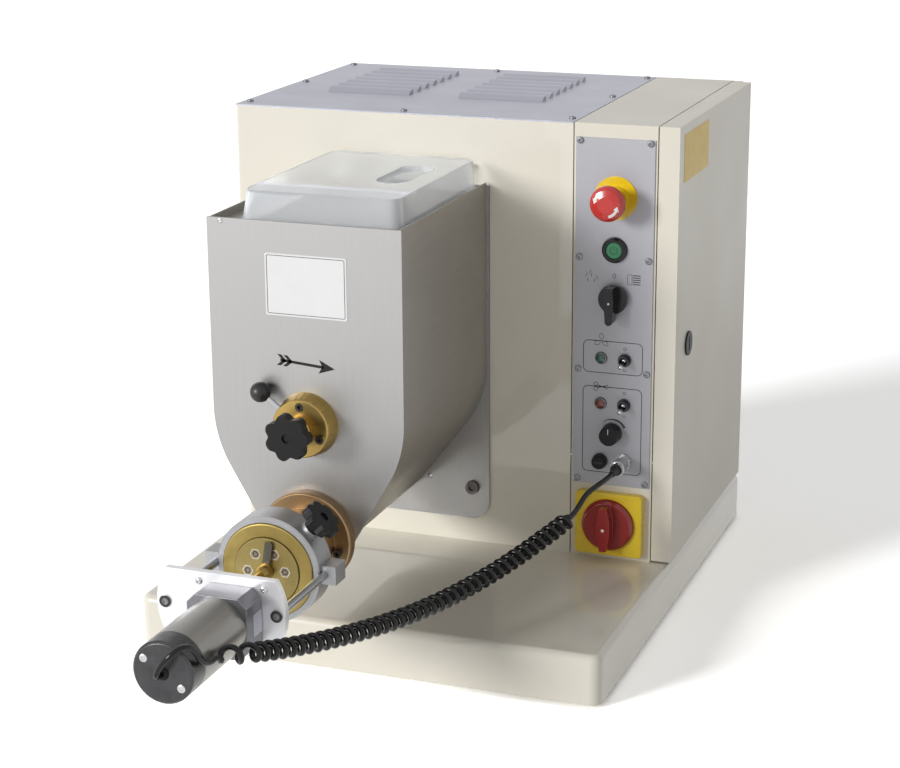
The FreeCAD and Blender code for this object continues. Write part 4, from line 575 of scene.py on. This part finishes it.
def brushed_steel(name, colour, dark, roughness, turn=(0, 0, 0), line_height=3e-6):
    """Stainless steel with brush lines along x, before the turn, and wide cloudy smudges."""
    steel = finish(name, colour, roughness, metallic=1.0)
    lines = mask_from(steel, brush, turn=turn, length=brushed_length, width=brushed_width)
    lay_over(steel, lines, colour=dark, share=0.28, roughness=0.10, height=line_height)
    mottle(steel, 0.07, colour=dark, share=0.20, roughness=0.06, detail=3.0)
    return steel


cover_steel = brushed_steel("cover steel", cover_colour, (142, 143, 152), 0.34)
dress(cover_steel, "top_cover")


# Screws: dulled zinc button heads on the cover and the panel, and black socket screws on the
# hub, the flange and the hopper's back plate.

zinc = finish("zinc plate", (136, 137, 142), 0.30, metallic=1.0)
mottle(zinc, 0.002, colour=(92, 92, 96), share=0.5, roughness=0.15, detail=4.0)
mottle(zinc, 0.0004, height=3e-6)
dress(zinc, "button_screws")

black_oxide = plated("black oxide", (66, 64, 62), (104, 98, 90), 0.34, size=0.004, more=0.1, metallic=0.8)
mottle(black_oxide, 0.0005, height=5e-6)
dress(black_oxide, "socket_screws")


# Panel plate: a silver anodised sheet on the control column. Printed in dark grey are two
# boxes round the fan and the cutter controls, their signs, marks at the switches and a wedge
# that widens round the speed dial.

ink_height = 0.00015
plate_height = 0.0003
ink_dark = (46, 47, 51)
print_line = 0.0008
arc_points = 24
corner_points = 7


def front_of(name):
    """Middle of a CAD piece in x and z, and the level of its front."""
    low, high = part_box(name)
    return np.array(((low.x + high.x) / 2, (low.z + high.z) / 2)), low.y


def arc(centre, radius, first, last, points=arc_points):
    """Points of a circle's arc in the x-z plane, angles in degrees from +x towards +z."""
    turn = np.radians(np.linspace(first, last, points))
    return np.array(centre) + radius * np.stack([np.cos(turn), np.sin(turn)], axis=1)


def printed_strip(line, width, face, closed=False):
    """Flat strip along a line in the x-z plane: each point carries a rectangle across the line,
    half the width to each side, from the face out by the ink's height."""
    if closed:
        ahead = unit(np.roll(line, -1, axis=0) - np.roll(line, 1, axis=0))
    else:
        ahead = unit(np.gradient(line, axis=0))
    across = np.stack([-ahead[:, 1], ahead[:, 0]], axis=1) * np.reshape(width, (-1, 1)) / 2
    left, right = line + across, line - across
    outer, inner = np.full(len(line), face - ink_height), np.full(len(line), face)
    rows = [
        np.stack([edge[:, 0], level, edge[:, 1]], axis=1)
        for edge, level in ((left, inner), (left, outer), (right, outer), (right, inner))
    ]
    points = np.stack(rows)
    if closed:
        return points, quads(4, len(line), wrap_rows=True)
    middles = points.mean(axis=0, keepdims=True)
    ends = np.concatenate([points[:, :1], points, points[:, -1:]], axis=1)
    ends[:, 0], ends[:, -1] = middles[:, 0], middles[:, -1]
    return ends, quads(4, len(line) + 2, wrap_rows=True, wrap_columns=False)


def printed_patch(outline, face, height=ink_height):
    """Flat patch with a closed outline in the x-z plane, star-shaped about its middle: rows of
    middle, rim, raised rim and raised middle."""
    middle = np.repeat(outline.mean(axis=0, keepdims=True), len(outline), axis=0)
    rows = [
        np.stack([ring[:, 0], np.full(len(outline), level), ring[:, 1]], axis=1)
        for ring, level in (
            (middle, face), (outline, face), (outline, face - height), (middle, face - height),
        )
    ]
    return np.stack(rows), quads(4, len(outline))


def together(*shapes):
    """Several (points, faces) pairs as one."""
    points, faces, count = [], [], 0
    for shape_points, shape_faces in shapes:
        flat = shape_points.reshape(-1, 3)
        points.append(flat)
        faces.append(shape_faces + count)
        count += len(flat)
    return np.concatenate(points), np.concatenate(faces)


def rounded_box(x0, x1, z0, z1, radius, gap=None):
    """Outline of a box with round corners; a gap (from, to) along its top edge leaves it open."""
    corners = [
        arc((x, z), radius, first, first + 90, corner_points)
        for x, z, first in (
            (x0 + radius, z1 - radius, 90), (x0 + radius, z0 + radius, 180),
            (x1 - radius, z0 + radius, 270), (x1 - radius, z1 - radius, 0),
        )
    ]
    if gap is None:
        return np.concatenate(corners)
    return np.concatenate([[(gap[0], z1)], *corners, [(gap[1], z1)]])


def side_plate(name, material, body, face, edges, corner):
    """Blank plate on a face that looks along +x: its edges are (y0, y1, z0, z1)."""
    points, faces = printed_patch(rounded_box(*edges, corner), 0.0, plate_height)
    points = np.stack([face - points[..., 1], points[..., 0], points[..., 2]], axis=-1)
    piece = new_piece(name, points, faces, material)
    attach(piece, body)


def printed(name, material, body, slot, *shapes):
    """One printed piece made of several shapes, on a body."""
    piece = new_piece(name, *together(*shapes), material)
    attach(piece, body)
    return piece


panel_face = front_of("panel_plate")[1]
silver = finish("panel silver", (166, 166, 171), 0.46, metallic=0.6, shine=0.3)
mottle(silver, 0.06, colour=(160, 160, 166), share=0.25, roughness=0.08, detail=3.0)
mottle(silver, 0.0005, height=3e-6)
eased("panel_plate", 0.0003, silver)

ink = finish("printing ink", ink_dark, 0.5)
mottle(ink, 0.003, colour=(66, 66, 70), share=0.4, roughness=0.1, detail=3.0)

box_left, box_right = 0.1595, 0.2282
fan_box_low, fan_box_top = 0.2805, 0.3176
cutter_box_low, cutter_box_top = 0.1625, 0.2640
sign_x = 0.1803
sign_gap = (sign_x + 0.011, sign_x - 0.010)
box_corner = 0.006

fan_sign = [
    printed_strip(
        np.array([sign_x, fan_box_top]) + np.stack([
            (0.0052 + 0.0035 * np.cos(turn)) * math.cos(aim) - 0.0022 * np.sin(turn) * math.sin(aim),
            (0.0052 + 0.0035 * np.cos(turn)) * math.sin(aim) + 0.0022 * np.sin(turn) * math.cos(aim),
        ], axis=1), 0.0005, panel_face, closed=True,
    )
    for aim in np.radians((90, 210, 330))
    for turn in [np.linspace(0, 2 * np.pi, 20, endpoint=False)]
]
scissors_eye = 0.0022
scissors_sign = [
    printed_strip(
        arc((sign_x - 0.006, cutter_box_top + side * 0.0028), scissors_eye, 0, 345),
        0.0006, panel_face, closed=True,
    )
    for side in (-1, 1)
] + [
    printed_strip(
        np.linspace(
            (sign_x - 0.0042, cutter_box_top + side * 0.0020),
            (sign_x + 0.0085, cutter_box_top - side * 0.0024), 8,
        ), 0.0007, panel_face,
    )
    for side in (-1, 1)
]
printed(
    "panel_boxes", ink, "machine", "black_plastic",
    *[
        printed_strip(
            rounded_box(box_left, box_right, low, top, box_corner, sign_gap), print_line, panel_face,
        )
        for low, top in ((fan_box_low, fan_box_top), (cutter_box_low, cutter_box_top))
    ],
    *fan_sign, *scissors_sign,
)

toggle_x = front_of("fan_toggle")[0][0]
toggle_ring = 0.0016
toggle_marks = [
    printed_strip(arc((toggle_x, level), toggle_ring, 0, 345), 0.0005, panel_face, closed=True)
    for level in (0.3103, 0.2584)
] + [
    printed_strip(arc((toggle_x, level), toggle_ring, 150, 390), 0.0005, panel_face)
    for level in (0.2858, 0.2318)
]
dial_middle, dial_front = front_of("speed_knob")
wedge_line = arc(dial_middle, 0.0160, 135, 25, 30)
wedge_width = np.linspace(0.0003, 0.0030, 30)
selector_middle = front_of("selector_base")[0]
zero_mark = selector_middle + (-0.0005, 0.0255) + np.stack([
    0.0017 * np.cos(np.linspace(0, 2 * np.pi, 20, endpoint=False)),
    0.0024 * np.sin(np.linspace(0, 2 * np.pi, 20, endpoint=False)),
], axis=1)
stroke = 0.0042
mix_strokes = [
    printed_strip(
        np.linspace(selector_middle + (x, z), selector_middle + (x + lean, z + stroke), 5),
        0.0006, panel_face,
    )
    for x, z, lean in (
        (-0.0335, 0.0228, 0.0018), (-0.0308, 0.0168, -0.0006), (-0.0272, 0.0228, 0.0008),
        (-0.0240, 0.0170, 0.0016), (-0.0200, 0.0206, -0.0010), (-0.0290, 0.0262, 0.0012),
    )
]
press_box = selector_middle + rounded_box(0.0150, 0.0200, 0.0168, 0.0282, 0.0006)
press_bars = [
    printed_strip(
        np.linspace(selector_middle + (0.0212, level), selector_middle + (0.0298, level), 4),
        0.0010, panel_face,
    )
    for level in np.linspace(0.0174, 0.0276, 5)
]
printed(
    "panel_marks", ink, "machine", "black_plastic",
    *toggle_marks, printed_strip(wedge_line, wedge_width, panel_face),
    printed_strip(zero_mark, 0.0006, panel_face, closed=True),
    *mix_strokes, printed_strip(press_box, 0.0005, panel_face, closed=True), *press_bars,
)


# Emergency stop: a red mushroom head with two white turning arrows, on a black stem, in a
# yellow collar. Glossy moulded plastic.

stop_low, stop_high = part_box("estop_head")
stop_middle, head_front = front_of("estop_head")
arrow_circle = 0.0132
arrow_width = 0.0030
arrow_sweep = 50.0


def moulded(name, colour, dark, roughness=0.22, coat=0.3, shine=0.5, grain_height=3e-6):
    """Moulded plastic: slight clouds of colour, a fine grain and a soft gloss."""
    plastic = finish(name, colour, roughness, coat=coat, shine=shine)
    mottle(plastic, 0.018, colour=dark, share=0.30, roughness=0.08, detail=3.0)
    mottle(plastic, 0.0005, height=grain_height)
    return plastic


yellow = moulded("yellow plastic", (240, 208, 28), (226, 188, 18))
red = moulded("red plastic", (200, 44, 38), (172, 30, 28))
gloss_black = moulded("gloss black plastic", (13, 13, 14), (22, 22, 23), roughness=0.18, coat=0.0, shine=0.35)
white_ink = moulded("white print", (236, 236, 232), (214, 214, 208), roughness=0.4, coat=0.0)
dress(yellow, "estop_collar")
dress(red, "estop_head")
dress(gloss_black, "estop_stem")

head_radius = (stop_high.x - stop_low.x) / 2
head_rim = head_front + 0.10 * (stop_high.y - stop_low.y)


def head_level(radius):
    """How far forward the mushroom's face is at a radius: a straight cone from 0.45 of its width
    to 0.80 of it."""
    part = np.clip((radius / head_radius - 0.45) / 0.35, 0, 1)
    return head_front + part * (head_rim - head_front)


def stop_arrow(start):
    """Curved arrow on the mushroom's face: a strip that ends in a head, both laid on the cone."""
    shaft, faces = printed_strip(arc(stop_middle, arrow_circle, start, start + arrow_sweep), arrow_width, 0.0)
    tip = arc(stop_middle, arrow_circle, start + arrow_sweep, start + arrow_sweep + 22, 2)
    wide = [
        arc(stop_middle, arrow_circle + out, start + arrow_sweep, start + arrow_sweep, 1)[0]
        for out in (-0.0032, 0.0032)
    ]
    head, head_faces = printed_patch(np.array([wide[0], tip[1], wide[1]]), 0.0)
    points, faces = together((shaft, faces), (head, head_faces))
    reach = np.hypot(points[:, 0] - stop_middle[0], points[:, 2] - stop_middle[1])
    points[:, 1] += head_level(reach)
    return points, faces


printed("estop_arrows", white_ink, "estop_mushroom", "switchgear_grey", stop_arrow(105), stop_arrow(285))


# Start button: a green pushbutton, lit from inside, in a glossy black ring.

green_glow = moulded("green lens", (34, 134, 84), (20, 96, 58), roughness=0.28)
green_shader = green_glow.node_tree.nodes["Principled BSDF"]
green_shader.inputs["Subsurface Weight"].default_value = 0.0
cap_middle, cap_front = front_of("start_cap")
green_ink = moulded("dark green print", (14, 66, 42), (12, 58, 36), roughness=0.4, coat=0.0)
dress(gloss_black, "start_bezel")
dress(green_glow, "start_cap")
printed(
    "start_mark", green_ink, "start_button", "green_lens",
    printed_strip(arc(cap_middle, 0.0042, 60, -240), 0.0007, cap_front),
    printed_strip(
        np.linspace(cap_middle + (0, 0.0015), cap_middle + (0, 0.0056), 4), 0.0008, cap_front,
    ),
)


# Selector: a glossy black disc and bar grip on a black ring, with a white dot on the grip.

grip_face = front_of("selector_knob")[1]
dress(gloss_black, "selector_base")
eased("selector_knob", 0.0012, gloss_black)
printed(
    "selector_dot", white_ink, "selector", "switchgear_grey",
    printed_patch(arc(selector_middle - (0, 0.0010), 0.0013, 0, 345), grip_face),
)


# Lamps and small controls: two neon lamps with coloured domes, two toggle switches with bright
# levers in dark nuts, a ribbed black speed dial with a white pointer and a black fuse cap.

lamp_low, lamp_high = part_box("lamps")
lamp_radius = (lamp_high.x - lamp_low.x) / 2
lamp_x = (lamp_low.x + lamp_high.x) / 2
lens_radius = 0.0057
lens_rise = 0.0032
lens_foot = lamp_low.y + 0.0026


def turned_face(profile, centre, sides=32):
    """Surface of revolution about a line along y: profile is (y, radius) rows, from pole to pole."""
    levels, radii = np.array(profile).T
    turn = np.linspace(0, 2 * np.pi, sides, endpoint=False)
    x = centre[0] + radii[:, None] * np.cos(turn)
    z = centre[1] + radii[:, None] * np.sin(turn)
    return np.stack([x, np.broadcast_to(levels[:, None], x.shape), z], axis=2), quads(len(levels), sides)


def lens_dome(z):
    """Quarter ellipse of revolution: the foot's radius times a cosine, the rise times a sine."""
    turn = np.linspace(0, np.pi / 2, 9)
    rows = [(lens_foot, 0.0)] + list(zip(lens_foot - lens_rise * np.sin(turn), lens_radius * np.cos(turn)))
    return turned_face(rows, (lamp_x, z))


dark_lens = moulded("red lens", (128, 40, 24), (86, 22, 16), roughness=0.12, coat=0.6)
green_lens = moulded("green lamp lens", (16, 92, 70), (10, 62, 48), roughness=0.12, coat=0.6)
lamp_metal = plated("lamp bezel", (120, 120, 124), (80, 80, 84), 0.3, more=0.1)
dress(lamp_metal, "lamps")
for name, lens, level in (
    ("fan_lamp_lens", green_lens, lamp_high.z - lamp_radius),
    ("cutter_lamp_lens", dark_lens, lamp_low.z + lamp_radius),
):
    dome = new_piece(name, *lens_dome(level), lens)
    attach(dome, "machine")

dark_nickel = plated("dark nickel", (58, 58, 62), (96, 96, 100), 0.30, metallic=0.9)
nickel = plated("nickel plate", (188, 188, 190), (140, 140, 144), 0.20, size=0.003)
mottle(nickel, 0.0004, height=2e-6)
black = moulded(
    "black plastic", (15, 15, 16), (26, 26, 27), roughness=0.38, coat=0.0, shine=0.25, grain_height=8e-6,
)
dress(dark_nickel, "panel_bushes")
dress(nickel, "fan_toggle", "cutter_toggle")
dress(black, "speed_knob", "fuse_cap", "mains_gland")
printed(
    "speed_pointer", white_ink, "speed_dial", "switchgear_grey",
    printed_strip(
        np.linspace(dial_middle + (0, 0.003), dial_middle + (0, 0.0092), 4), 0.0009, dial_front,
    ),
)
fuse_middle, fuse_front = front_of("fuse_cap")
printed(
    "fuse_slot", ink, "machine", "black_plastic",
    printed_strip(
        np.linspace(fuse_middle - (0.005, 0), fuse_middle + (0.005, 0), 4), 0.0012, fuse_front,
    ),
)


# Cord connector: a nickel-plated round socket and plug; the plug's boot is black rubber.

boot_end = front_of("cord_plug")[1]
boot_length = 0.0162
plug_metal = plated("plug nickel", (196, 196, 198), (150, 150, 154), 0.20)
paint_within(plug_metal, (0, boot_end, 0), (far, boot_length, far), (18, 18, 19), 0.3, -1.0)
dress(nickel, "cord_socket")
dress(plug_metal, "cord_plug")


# Isolator: a yellow plate with a dark red disc and grip, a white dot on the grip, and a thin
# raised ring round the disc.

isolator_middle, isolator_front = front_of("isolator_body")
bright_yellow = moulded("bright yellow plastic", (238, 206, 34), (226, 190, 22))
deep_red = moulded("deep red plastic", (150, 24, 20), (116, 16, 15), roughness=0.16, coat=0.3, shine=0.4)
eased("isolator_body", 0.0012, bright_yellow)
eased("isolator_handle", 0.0006, deep_red)
handle_face = front_of("isolator_handle")[1]
printed(
    "isolator_dot", white_ink, "isolator_grip", "switchgear_grey",
    printed_patch(arc(isolator_middle, 0.0018, 0, 345), handle_face),
)
ring_radius = 0.0335
ring_width = 0.0012
isolator_ring = new_piece(
    "isolator_ring",
    *printed_strip(
        arc(isolator_middle, ring_radius, 0, 354, 60), ring_width, isolator_front, closed=True,
    ), bright_yellow,
)
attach(isolator_ring, "machine")


# Door lock: a black quarter-turn lock with a slotted face in the side door, and a blank plate
# of yellow film near the door's top edge.

dress(black, "door_latch")

film = finish("yellow film", (232, 196, 74), 0.42, coat=0.1)
mottle(film, 0.02, colour=(216, 178, 58), share=0.4, roughness=0.1, detail=3.0)
mottle(film, 0.0006, height=2e-6)
door_plate_edges = (0.1560, 0.2665, 0.4985, 0.5520)
door_plate_corner = 0.002
side_plate(
    "door_plate", film, "door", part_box("side_door")[1].x,
    door_plate_edges, door_plate_corner,
)


# Hopper: a bent stainless trough between two flat end plates, welded and satin ground. The
# front plate carries the hub and the barrel, a blank white label, a black feathered arrow and
# a small screw; the back plate is screwed to the cabinet and has two bright rivets.

satin = brushed_steel(
    "satin stainless", (164, 163, 162), (134, 133, 131), 0.36, turn=upright, line_height=2e-6,
)
trough_steel = brushed_steel("trough stainless", (168, 164, 158), (132, 127, 120), 0.34, turn=lengthwise)
back_steel = brushed_steel("back plate stainless", (146, 144, 142), (110, 108, 106), 0.38, turn=upright)
eased("hopper_front_plate", 0.0005, satin)
dress(trough_steel, "hopper_trough")
dress(back_steel, "hopper_back_plate")

hopper_face = front_of("hopper_front_plate")[1]
label_edges = np.array((-0.1075, -0.0155, 0.3900, 0.4565))
label_inset = 0.0022 * np.array((1, -1, 1, -1))
arrow_tail, arrow_tip = np.array((-0.0953, 0.3420)), np.array((-0.0307, 0.3368))

label_white = moulded("white label", (240, 240, 240), (228, 228, 228), roughness=0.35, coat=0.2)
printed(
    "hopper_label", label_white, "machine", "switchgear_grey",
    printed_patch(rounded_box(*label_edges, 0.002), hopper_face, plate_height),
)
printed(
    "hopper_label_line", ink, "machine", "black_plastic",
    printed_strip(
        rounded_box(*(label_edges + label_inset), 0.0015), 0.0006, hopper_face - plate_height, closed=True,
    ),
)


dimple_turn = 1.15
dimple_floor = 0.45


def screw_head(centre, level, radius, rise):
    """Button head on a face that looks along -y: a quarter ellipse of revolution, its rise a sine
    and its radius a cosine up to the dimple's rim, with a shallow round dimple at the pole."""
    turn = np.linspace(0, dimple_turn, 9)
    rows = [(level, 0.0)] + list(zip(level - rise * np.sin(turn), radius * np.cos(turn)))
    dimple = radius * math.cos(dimple_turn)
    floor = level - dimple_floor * rise
    return turned_face(rows + [(floor, 0.85 * dimple), (floor, 0.0)], centre)


def along_arrow(part, out=0.0):
    """Point at a part of the arrow's length and a distance above its line."""
    line = arrow_tip - arrow_tail
    return arrow_tail + line * part + out * np.array((-line[1], line[0])) / np.linalg.norm(line)


arrow_ink = moulded("black arrow film", (16, 16, 17), (28, 28, 29), roughness=0.4, coat=0.0, shine=0.3)
feather_reach = 0.0060
barb_reach = 0.0075
arrow_head = np.array([
    along_arrow(0.72, barb_reach), along_arrow(1.0), along_arrow(0.72, -barb_reach), along_arrow(0.78),
])
feathers = [
    printed_patch(np.array([
        along_arrow(part), along_arrow(part - 0.10, side * feather_reach),
        along_arrow(part - 0.03, side * feather_reach), along_arrow(part + 0.07),
    ]), hopper_face)
    for part in (0.08, 0.19) for side in (-1, 1)
]
printed(
    "turning_arrow", arrow_ink, "machine", "black_plastic",
    printed_strip(np.linspace(along_arrow(0.04), along_arrow(0.80), 6), 0.0030, hopper_face),
    printed_patch(arrow_head, hopper_face),
    *feathers,
)


bright_screw = plated("bright screw", (206, 206, 208), (150, 150, 154), 0.16)
hopper_screw_place = (-0.1574, 0.4868)
printed(
    "hopper_screw", bright_screw, "machine", "bright_aluminium",
    screw_head(hopper_screw_place, hopper_face, 0.0030, 0.0016),
)
back_sheet = 0.0030
back_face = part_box("hopper_back_plate")[1].y - back_sheet
rivet_places = ((-0.0264, 0.1349), (-0.0608, 0.1154))
printed(
    "back_plate_rivets", bright_screw, "machine", "bright_aluminium",
    *[screw_head(centre, back_face, 0.0032, 0.0018) for centre in rivet_places],
)


# Lid: clear moulded plastic, slightly milky, with a hand slot on the right, hinged on two pins
# at the back. It lets most of the light through into the trough.

lid_milk = 0.32
lid_shadow = 0.25
clear = finish("clear plastic", (246, 248, 250), 0.05)
clear_shader = clear.node_tree.nodes["Principled BSDF"]
clear_shader.inputs["Transmission Weight"].default_value = 1 - lid_milk
clear_shader.inputs["IOR"].default_value = 1.46
lid_path = clear.node_tree.nodes.new("ShaderNodeLightPath")
clear.node_tree.links.new(
    scaled(clear.node_tree, lid_path.outputs["Is Shadow Ray"], lid_shadow - 1, 1.0),
    clear_shader.inputs["Alpha"],
)
eased("clear_lid", 0.0008, clear)


# Mixer hub and lock: a turned brass hub with a swinging nickel-plated lock lever that ends in a
# matt black ball, and a black seven-lobed star knob that draws the mixer shaft tight.

hub_middle = front_of("mixer_hub")[0]
mixer_axis = (hub_middle[0], 0.0, hub_middle[1])


def turning_group():
    """Turning marks about the y axis: one-dimensional noise of the distance from the axis."""
    group = shader_group("turning marks", {"Place": (0.0, 0.0, 0.0), "Width": 0.0004}, ["Mask"])
    nodes, links = group.nodes, group.links
    given, made = nodes.new("NodeGroupInput"), nodes.new("NodeGroupOutput")
    flat = nodes.new("ShaderNodeVectorMath")
    flat.operation = "MULTIPLY"
    flat.inputs[1].default_value = (1, 0, 1)
    reach = nodes.new("ShaderNodeVectorMath")
    reach.operation = "LENGTH"
    rate = nodes.new("ShaderNodeMath")
    rate.operation = "DIVIDE"
    noise = nodes.new("ShaderNodeTexNoise")
    noise.noise_dimensions = "1D"
    noise.inputs["Scale"].default_value = 1.0
    noise.inputs["Detail"].default_value = 3.0
    spread = nodes.new("ShaderNodeMapRange")
    spread.inputs["From Min"].default_value = 0.25
    spread.inputs["From Max"].default_value = 0.75
    links.new(given.outputs["Place"], flat.inputs[0])
    links.new(flat.outputs["Vector"], reach.inputs[0])
    links.new(reach.outputs["Value"], rate.inputs[0])
    links.new(given.outputs["Width"], rate.inputs[1])
    links.new(rate.outputs[0], noise.inputs["W"])
    links.new(noise.outputs["Fac"], spread.inputs["Value"])
    links.new(spread.outputs["Result"], made.inputs["Mask"])
    return group


turning = turning_group()


def turned_metal(name, colour, dark, roughness, axis, width=0.0004):
    """Metal turned about a line along y through the axis, with clouds of handling."""
    metal = finish(name, colour, roughness, metallic=1.0)
    rings = mask_from(metal, turning, middle=axis, width=width)
    lay_over(metal, rings, colour=dark, share=0.30, roughness=0.08, height=4e-6)
    mottle(metal, 0.02, colour=dark, share=0.45, roughness=0.10, detail=4.0)
    return metal


hub_brass = turned_metal("hub brass", (190, 162, 98), (138, 114, 62), 0.28, mixer_axis)
eased("mixer_hub", 0.0005, hub_brass)
dress(black, "mixer_knob", "ring_knob")

ball_middle = (-0.1109, -0.1445, 0.3084)
ball_reach = 0.0113
lever_metal = plated("lever nickel", (190, 190, 192), (140, 140, 144), 0.20, size=0.003)
paint_within(lever_metal, ball_middle, (ball_reach,) * 3, (16, 16, 17), 0.16, -1.0)
dress(lever_metal, "lock_lever")


# Mixer and auger inside: a stainless shaft with four pairs of paddles, and a ground auger.

shaft_steel = brushed_steel("shaft stainless", (160, 160, 160), (126, 126, 126), 0.30, turn=lengthwise)
auger_steel = brushed_steel("auger steel", (158, 160, 164), (120, 122, 126), 0.26, turn=lengthwise)
dress(shaft_steel, "mixer_shaft")
dress(auger_steel, "auger")


# Extruder: a coppery bronze barrel, a turned brass die nut and a brass die with six pressed-in
# inserts of a greyer metal, each with a pale rim.

nut_middle = front_of("die_nut")[0]
auger_axis = (nut_middle[0], 0.0, nut_middle[1])
barrel_bronze = turned_metal("barrel bronze", (160, 134, 100), (112, 90, 64), 0.32, auger_axis)
nut_brass = turned_metal("nut brass", (172, 152, 92), (122, 104, 58), 0.30, auger_axis)
die_brass = turned_metal("die brass", (164, 148, 96), (118, 104, 62), 0.32, auger_axis)
eased("barrel", 0.0006, barrel_bronze)
eased("die_nut", 0.0006, nut_brass)
dress(die_brass, "die_plate")

insert_circle = 0.021
insert_first = 4.0
insert_radius = 0.0056
die_face = front_of("die_plate")[1]
pale_metal = plated("insert rim", (214, 212, 200), (170, 166, 150), 0.3, more=0.1, metallic=0.9)
insert_reach = 0.0052
insert_depth = 0.003
insert_rims = []
for turn in np.radians(insert_first + 60.0 * np.arange(6)):
    centre = (auger_axis[0] + insert_circle * math.cos(turn), auger_axis[2] + insert_circle * math.sin(turn))
    insert_rims.append(printed_strip(arc(centre, insert_radius, 0, 300, 6), 0.0011, die_face, closed=True))
    paint_within(
        die_brass, (centre[0], die_face, centre[1]), (insert_reach, insert_depth, insert_reach),
        (140, 130, 112),
    )
printed("die_insert_rims", pale_metal, "machine", "bright_aluminium", *insert_rims)


# Cutter unit: a cast aluminium clamp ring with a turned front, two ground rods, a milled plate,
# a grey gearbox with four screws and a blank silver strip, a steel motor can, a dark end cap
# with two screws and a black cable gland, and the knife: a grey blade on a brass hub.

cast = finish("cast aluminium", (176, 176, 178), 0.42, metallic=1.0)
mottle(cast, 0.0009, colour=(122, 124, 128), share=0.35, roughness=0.12, height=2e-5, detail=3.0)
mottle(cast, 0.03, colour=(132, 133, 136), share=0.4, detail=3.0)
eased("clamp_ring", 0.0008, cast)
ground = brushed_steel("ground steel", (178, 180, 184), (140, 142, 146), 0.20, turn=lengthwise)
rod_steel = brushed_steel("rod steel", (178, 180, 184), (140, 142, 146), 0.20, turn=lengthwise)
rods_low, rods_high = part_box("guide_rods")
rod_head_radius = 0.0062
rod_head_depth = 0.0022
rod_level = (rods_low.z + rods_high.z) / 2
# Each rod end is painted a dark disc, the steel head's own colour, with a lighter centre that is a painted
# highlight.
for x in (rods_low.x + rod_head_radius, rods_high.x - rod_head_radius):
    for reach, head_tone_and_highlight in ((0.0068, (70, 70, 68)), (0.0034, (132, 132, 130))):
        paint_within(rod_steel, (x, rods_low.y, rod_level), (reach, rod_head_depth, reach), head_tone_and_highlight)
dress(rod_steel, "guide_rods")
milled = brushed_steel("milled aluminium", (224, 224, 226), (198, 198, 202), 0.36, line_height=2e-6)
eased("motor_plate", 0.0006, milled)
enamel = finish("grey metallic enamel", (132, 132, 136), 0.30, metallic=0.9, coat=0.2)
mottle(enamel, 0.0008, colour=(108, 110, 114), share=0.35, height=6e-6, detail=3.0)
mottle(enamel, 0.03, colour=(112, 112, 116), share=0.4, roughness=0.1, detail=3.0)
eased("cutter_gearbox", 0.0008, enamel)
can_steel = brushed_steel("motor can steel", (150, 148, 144), (96, 94, 90), 0.26, turn=lengthwise)
dress(can_steel, "cutter_motor")
dark_enamel = finish("dark cast cap", (84, 84, 85), 0.22, metallic=1.0)
mottle(dark_enamel, 0.012, colour=(52, 52, 53), share=0.6, roughness=0.12, height=3e-5, detail=4.0)
mottle(dark_enamel, 0.0009, colour=(74, 75, 78), share=0.3, roughness=0.1, height=5e-6, detail=3.0)
eased("motor_end_cap", 0.0005, dark_enamel)
dress(black, "cable_gland")

knife_hub_radius = 0.0095
knife_steel = finish("knife steel", (112, 108, 100), 0.26, metallic=1.0)
mottle(knife_steel, 0.003, colour=(84, 80, 72), share=0.5, roughness=0.1, detail=4.0)
paint_within(knife_steel, auger_axis, (knife_hub_radius, far, knife_hub_radius), (174, 152, 96))
dress(knife_steel, "knife")

gearbox_low, gearbox_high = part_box("cutter_gearbox")
strip_metal = plated(
    "silver film", (206, 206, 216), (184, 184, 196), 0.34, size=0.004, more=0.1, metallic=0.4,
)
strip_edges = (-0.3690, -0.3505, 0.1325, 0.1555)
strip_corner = 0.001
side_plate(
    "gearbox_strip", strip_metal, "cutter_unit", gearbox_high.x,
    strip_edges, strip_corner,
)


motor_plate_face = front_of("motor_plate")[1]
screw_clear = 0.0031
screw_inset = 0.0005
gearbox_screws = [
    screw_head((x, z), motor_plate_face, 0.0038, 0.0026)
    for x in (gearbox_low.x - screw_clear, gearbox_high.x + screw_clear)
    for z in (gearbox_low.z + screw_inset, gearbox_high.z - screw_inset)
]
printed("gearbox_screws", bright_screw, "cutter_unit", "bright_aluminium", *gearbox_screws)
end_middle, end_front = front_of("motor_end_cap")
cap_screw_out = np.array((0.0190, -0.0127))
cap_screws = [
    screw_head(end_middle + side * cap_screw_out, end_front, 0.0042, 0.0010) for side in (-1, 1)
]
printed("cap_screws", bright_screw, "cutter_unit", "bright_aluminium", *cap_screws)


# Drive train: a steel frame with bearings, gears with an oil film, and a blue-grey motor, all
# inside the cabinet, and the switch gear in the column.

gear_steel = brushed_steel("gear steel", (142, 143, 146), (104, 104, 106), 0.30, turn=lengthwise)
dress(gear_steel, "auger_gear", "mixer_gear", "drive_pinion", "bearing_frame", "hinge_pins")
dress(ground, "bearings")
motor_blue = finish("motor enamel", (63, 90, 116), 0.36, coat=0.3)
mottle(motor_blue, 0.04, colour=(50, 72, 94), share=0.4, roughness=0.1, detail=3.0)
mottle(motor_blue, 0.002, height=1e-5)
dress(motor_blue, "drive_motor")
switch_grey = moulded("switch gear grey", (200, 202, 198), (180, 182, 178), roughness=0.42, coat=0.0)
dress(switch_grey, "contactors")
